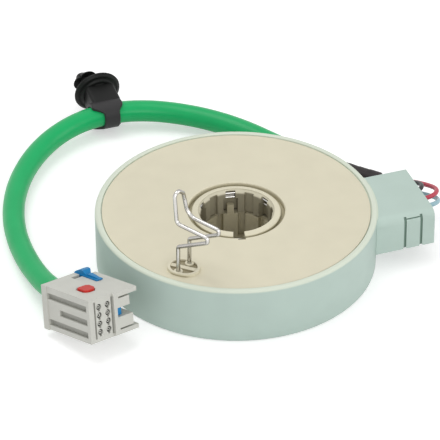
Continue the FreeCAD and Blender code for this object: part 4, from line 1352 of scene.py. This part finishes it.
@dataclass
class Coupling:
    """What the eye sees in the disc's bore: the collar's sloping crown and the leaf springs in its windows.

    Attributes:
        inner: The crown's inner radius.
        outer: The crown's outer radius.
        top: The height of the crown's inner edge.
        fall: How far the crown slopes down to its outer edge.
        lip: The crown's height at its outer edge.
        edge: The radius of the crown's upper edges.
        keyway: The angle of the keyway, in degrees.
        keyway_sides: How far the crown stops before and after the keyway's middle, in millimetres.
        first_window: The angle of the first window, in degrees.
        windows: How many windows go round.
        leaves: The windows that hold a leaf, in the order of the leaves' nodes.
        leaf_width: A leaf's width.
        leaf_back: The radius of a leaf's flat parts.
        leaf_bow: How far a leaf's two waves stand out towards the bore.
        leaf_low: The height of a leaf's lower end.
        leaf_high: The height of its upper end.
        leaf_thick: Its thickness.
    """

    inner: float = 12.8
    outer: float = 15.0
    top: float = 20.3
    fall: float = 0.75
    lip: float = 0.4
    edge: float = 0.3
    keyway: float = 256.3
    keyway_sides: tuple[float, float] = (2.6, 1.3)
    first_window: float = 79.0
    windows: int = 6
    leaves: tuple[int, ...] = (0, 1, 2, 4, 5)
    leaf_width: float = 3.2
    leaf_back: float = 14.05
    leaf_bow: float = 1.7
    leaf_low: float = 15.7
    leaf_high: float = 19.3
    leaf_thick: float = 0.25

    def crown(self) -> None:
        """Carries the sloping crown's section round the bore, from one side of the keyway to the other."""
        high = self.top - self.fall
        low = high - self.lip
        section = rounded([(self.inner, low, 0), (self.outer, low, 0), (self.outer, high, self.edge),
                           (self.inner, self.top, self.edge)])
        middle = (self.inner + self.outer) / 2
        before, after = (math.degrees(side / middle) for side in self.keyway_sides)
        angles = np.radians(np.linspace(self.keyway + after, self.keyway + 360 - before, 180))
        grid = np.swapaxes(spun(section, angles), 0, 1)
        dress(joined("collar_crown", [Shell(grid)]), "beige_plastic", Body.DISC)

    def leaf(self, number: int) -> None:
        """Bends one leaf: its radius is back - bow * (3 + t) / 4 * sin(2 pi t) ** 2, with t from foot to top.

        Args:
            number: The leaf's place in the list of nodes, from 0.
        """
        share = np.linspace(0, 1, 41)
        front = self.leaf_back - self.leaf_bow * (0.75 + 0.25 * share) * np.sin(2 * np.pi * share) ** 2
        height = self.leaf_low + (self.leaf_high - self.leaf_low) * share
        across = np.concatenate([front, front[::-1] + self.leaf_thick])
        upright = np.concatenate([height, height[::-1]])
        grid = np.stack([np.column_stack([across, np.full_like(across, side), upright])
                         for side in (-self.leaf_width / 2, self.leaf_width / 2)])
        turn = math.radians(self.first_window + self.leaves[number] * 360 / self.windows)
        spin = np.array(Matrix.Rotation(turn, 3, "Z"))
        leaf = joined(f"wave_leaf_{number + 1}", [Shell(grid @ spin.T)])
        dress(leaf, "spring_steel", Body.DISC)
        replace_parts(leaf, f"leaf_spring_{number + 1}")

    def build(self) -> None:
        """Builds the crown and the leaves."""
        self.crown()
        for number in range(len(self.leaves)):
            self.leaf(number)


@dataclass
class BoxDetails:
    """The seam where the lid meets the cup, and the wall behind the lid's two slots.

    Attributes:
        cup_radius: The cup's outer radius.
        seam: How far the seam stands out of the cup.
        seam_sink: How far it stands in the cup.
        seam_inset: How far inside the lid's near side, far side, lower edge and top it ends.
        near: The lid's near side.
        far: The lid's far side.
        bottom: The lid's lower edge.
        top: The lid's top.
        edge: The radius of the lid's near top edge.
        depth: How deep the wall behind the slots stands.
        wall: That wall's thickness.
        wall_reach: How far it runs over the slots' ends along the top.
        wall_foot: How far its foot is over the lid's lower edge.
        slot_range: From where to where it runs.
    """

    cup_radius: float = 47.45
    seam: float = 0.3
    seam_sink: float = 0.3
    seam_inset: tuple[float, float, float, float] = (0.12, 0.1, 0.05, 0.06)
    near: float = -22.8
    far: float = 3.7
    bottom: float = 6.6
    top: float = 19.9
    edge: float = 3.0
    depth: float = 0.65
    wall: float = 0.2
    wall_reach: float = 4.2
    wall_foot: float = 0.4
    slot_range: tuple[float, float] = (50.8, 59.4)

    def build_seam(self) -> None:
        """Fills the corner between cup and lid.

        With d the way in from the lid's near side and r its edge's radius, the seam's top is at
        top - r + sqrt(r ** 2 - (r - d) ** 2).
        """
        near_inset, far_inset, low_inset, top_inset = self.seam_inset
        y = np.linspace(self.near + near_inset, self.far - far_inset, 60)
        inward = np.clip(y - self.near, 0, self.edge)
        high = self.top - self.edge + np.sqrt(self.edge ** 2 - (self.edge - inward) ** 2) - top_inset
        low = np.full_like(y, self.bottom + low_inset)
        inside = np.sqrt((self.cup_radius - self.seam_sink) ** 2 - y ** 2)
        outside = np.sqrt((self.cup_radius + self.seam) ** 2 - y ** 2)
        corners = ((inside, low), (outside, low), (outside, high), (inside, high))
        grid = np.stack([np.stack([x, y, z], 1) for x, z in corners], 1)
        dress(joined("box_seam", [Shell(grid)]), "mint_plastic", Body.BASE)

    def build_backing(self) -> None:
        """Bends the wall behind the slots to the lid's own section, a little inside it."""
        near, top, foot = self.near + self.depth, self.top - self.depth, self.bottom + self.wall_foot
        end, edge = near + self.wall_reach, self.edge - self.depth
        outer = rounded([(near, foot, 0), (near, top, edge), (end, top, 0)])
        inner = rounded([(end, top - self.wall, 0), (near + self.wall, top - self.wall, edge - self.wall),
                         (near + self.wall, foot, 0)])
        section = np.concatenate([outer, inner])
        grid = np.stack([np.column_stack([np.full(len(section), x), section]) for x in self.slot_range])
        dress(joined("slot_backing", [Shell(grid)]), "mint_plastic", Body.BASE)

    def build(self) -> None:
        """Builds both."""
        self.build_seam()
        self.build_backing()


def in_plug(points: np.ndarray) -> np.ndarray:
    """Moves points from the plug's own frame to where it lies: place + x X + y Y + z Z.

    Args:
        points: The points in the plug's frame, in millimetres.

    Returns:
        The points in the part's frame, in the same shape.
    """
    return np.array(PLUG_AT) + np.asarray(points, float) @ PLUG_AXES.T


def lofted(sections: Sequence[tuple[float, float, float, float, float]]) -> Shell:
    """Joins upright four-sided sections of the plug's fittings.

    Args:
        sections: Each section's x, its two sides y and its foot and top z, in the plug's frame.

    Returns:
        The closed shell.
    """
    grid = [[(x, left, foot), (x, right, foot), (x, right, top), (x, left, top)]
            for x, left, right, foot, top in sections]
    return Shell(in_plug(np.array(grid)))


@dataclass
class PlugFittings:
    """The plug's coloured locks and key, and the sockets and dark seals in its cavities; the seals also paint
    the shade deep in them.

    Attributes:
        top: The height of the plug's top.
        front: The place of its face.
        slide: The blue slide's sections above the plug's top: x, left, right, foot, top.
        rail: The section of the slide in its rail.
        red_at: The red lock's middle.
        red_half: Half of its length and width.
        red_cut: How far its corners are cut.
        red_foot: The height of its foot.
        red_rise: How far its button stands over the plug's top.
        key: The blue key's sections in the side guide.
        cavity_first: The middle of the first cavity.
        cavity_pitch: The ways between the cavities' columns and rows.
        shade_seal_depth: How deep the dark seals, which also paint the cavities' shade, stand.
        shade_seal_size: A dark seal's radius and length.
        socket: A socket's section: each point's radius and how far it stands before the seal's face.
        rounds: The width of the slide's, the lock's and the key's rounds.
    """

    top: float = 15.2
    front: float = 24.0
    slide: tuple[tuple[float, float, float, float, float], ...] = (
        (-0.35, 14.4, 16.5, 15.23, 15.5), (1.0, 14.3, 17.1, 15.23, 16.2), (2.4, 14.3, 17.8, 15.23, 16.75),
        (3.9, 14.4, 17.7, 15.23, 16.75), (4.7, 14.5, 17.2, 15.23, 16.1), (5.2, 14.6, 16.8, 15.23, 15.5),
        (6.0, 14.7, 16.6, 15.23, 15.95), (9.0, 14.8, 16.3, 15.23, 15.8), (11.9, 14.9, 15.9, 15.23, 15.35),
    )
    rail: tuple[tuple[float, float, float, float, float], ...] = (
        (-0.4, 14.1, 16.7, 12.35, 15.3), (11.4, 14.1, 16.7, 12.35, 15.3))
    red_at: tuple[float, float] = (14.8, 6.6)
    red_half: tuple[float, float] = (3.1, 2.5)
    red_cut: float = 1.5
    red_foot: float = 12.35
    red_rise: float = 0.7
    key: tuple[tuple[float, float, float, float, float], ...] = (
        (18.0, 11.4, 13.9, 6.4, 9.45), (23.5, 11.4, 13.9, 6.4, 9.45))
    cavity_first: tuple[float, float] = (4.2, 3.25)
    cavity_pitch: tuple[float, float] = (3.6, 2.9)
    shade_seal_depth: float = 0.55
    shade_seal_size: tuple[float, float] = (1.02, 0.5)
    socket: tuple[tuple[float, float], ...] = (
        (0.3, -0.8), (0.56, -0.8), (0.58, 0.2), (0.46, 0.26), (0.34, 0.2))
    rounds: tuple[float, float, float] = (0.18, 0.25, 0.2)

    def blue_slide(self) -> bpy.types.Object:
        """Lofts the slide: its rail, the grip with its crest, a dip, and the tapering tongue.

        Returns:
            The slide.
        """
        slide = soften(joined("blue_slide", [lofted(self.rail), lofted(self.slide)]), self.rounds[0])
        dress(slide, "lock_blue", Body.BLUE_LOCK)
        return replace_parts(slide, "plug_blue_lock")

    def red_button(self) -> bpy.types.Object:
        """Raises the red lock's button over its low back end, in the octagon of its window.

        Returns:
            The red lock.
        """
        (x, y), (long, wide), cut = self.red_at, self.red_half, self.red_cut
        left, right, near, far = x - long, x + long, y - wide, y + wide
        octagon = [(left + cut, near), (right - cut, near), (right, near + cut), (right, far - cut),
                   (right - cut, far), (left + cut, far), (left, far - cut), (left, near + cut)]
        button = [(x - 1.5, near + 0.1), (right - 0.9, near + 0.1), (right - 0.1, near + 1.0),
                  (right - 0.1, far - cut), (right - cut, far - 0.1), (x - 1.0, far - 0.1),
                  (x - 1.9, far - 1.1), (x - 2.0, near + 0.9)]
        shells = [self.prism(octagon, self.red_foot, self.top - 0.1),
                  self.prism(button, self.top - 0.2, self.top + self.red_rise)]
        lock = soften(joined("red_button", shells), self.rounds[1])
        dress(lock, "lock_red", Body.RED_LOCK)
        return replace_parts(lock, "plug_red_lock")

    def prism(self, corners: Sequence[tuple[float, float]], foot: float, top: float) -> Shell:
        """Stands a prism on corners (x, y) in the plug's frame."""
        return Shell(in_plug(np.array([[(*corner, z) for corner in corners] for z in (foot, top)])))

    def side_key(self) -> bpy.types.Object:
        """Sets the small blue key in the side guide's gap, close behind the plug's face.

        Returns:
            The key.
        """
        key = soften(joined("guide_key", [lofted(self.key)]), self.rounds[2])
        dress(key, "lock_blue", Body.BASE)
        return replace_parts(key, "plug_side_key")

    def cavities(self) -> list[bpy.types.Object]:
        """Stands a black seal, which also paints the shade deep in the cavity, and a round socket in each
        cavity.

        Returns:
            The seals and the sockets.
        """
        angles = np.linspace(0, 2 * np.pi, 24, endpoint=False)
        radius, length = self.shade_seal_size
        shade_seal = np.roll(spun(np.array([(radius, -length), (radius, 0.0)]), angles), 1, axis=-1)
        socket = np.roll(spun(np.array(self.socket), angles), 1, axis=-1)
        (first_y, first_z), (column_way, row_way) = self.cavity_first, self.cavity_pitch
        places = [(self.front - self.shade_seal_depth, first_y + column * column_way, first_z + row * row_way)
                  for column in range(2) for row in range(4)]
        # The black seals are real seals and also painted shade in the deep cavities.
        shade_seals = joined("cavity_shade_seals", [Shell(in_plug(shade_seal + place)) for place in places])
        sockets = joined("cavity_sockets", [Shell(in_plug(socket + place), ring=True) for place in places])
        return [dress(shade_seals, "clip_black", Body.BASE), dress(sockets, "plug_grey", Body.BASE)]

    def build(self) -> list[bpy.types.Object]:
        """Builds every fitting."""
        return [self.blue_slide(), self.red_button(), self.side_key(), *self.cavities()]


@dataclass
class MouldedEdges:
    """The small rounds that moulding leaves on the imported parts' edges.

    Attributes:
        widths: The width of each node's rounds, in millimetres.
        seam: How close together two points are joined, in millimetres.
        angle: Edges that turn by more degrees than this are rounded.
        segments: How many spans a round has.
    """

    widths: tuple[tuple[str, float], ...] = (
        ("box_cover", 0.25), ("box_tray", 0.2), ("plug_housing", 0.3), ("lower_rotor", 0.15),
    )
    seam: float = 0.002
    angle: float = 38.0
    segments: int = 3

    def build(self) -> None:
        """Joins each node's loose seams and rounds its edges."""
        for name, width in self.widths:
            node = frame["nodes"][name]
            weld = node.modifiers.new("joined_seams", "WELD")
            weld.merge_threshold = self.seam * MM
            soften(node, width, self.segments, self.angle)
            LOG.info("%s has rounds of %.2f mm", name, width)


def finish_nodes() -> None:
    """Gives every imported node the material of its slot."""
    slots = {part["node"]: part["material_slot"] for part in frame["record"]["subparts"]}
    for name, node in frame["nodes"].items():
        node.data.materials.clear()
        node.data.materials.append(MATERIALS[slots[name]])
        LOG.info("node %s in %s", name, slots[name])


def main() -> None:
    """Builds the studio and every piece."""
    logging.basicConfig(level=logging.INFO, format="%(name)s: %(message)s")
    View().build()
    Studio().build()
    finish_nodes()
    Cable().build([*PlugFittings().build(), *CableClip().build()])
    HousingCup().build()
    Coupling().build()
    BoxDetails().build()
    FormedWire().build()
    MouldedEdges().build()


if __name__ == "__main__":
    main()
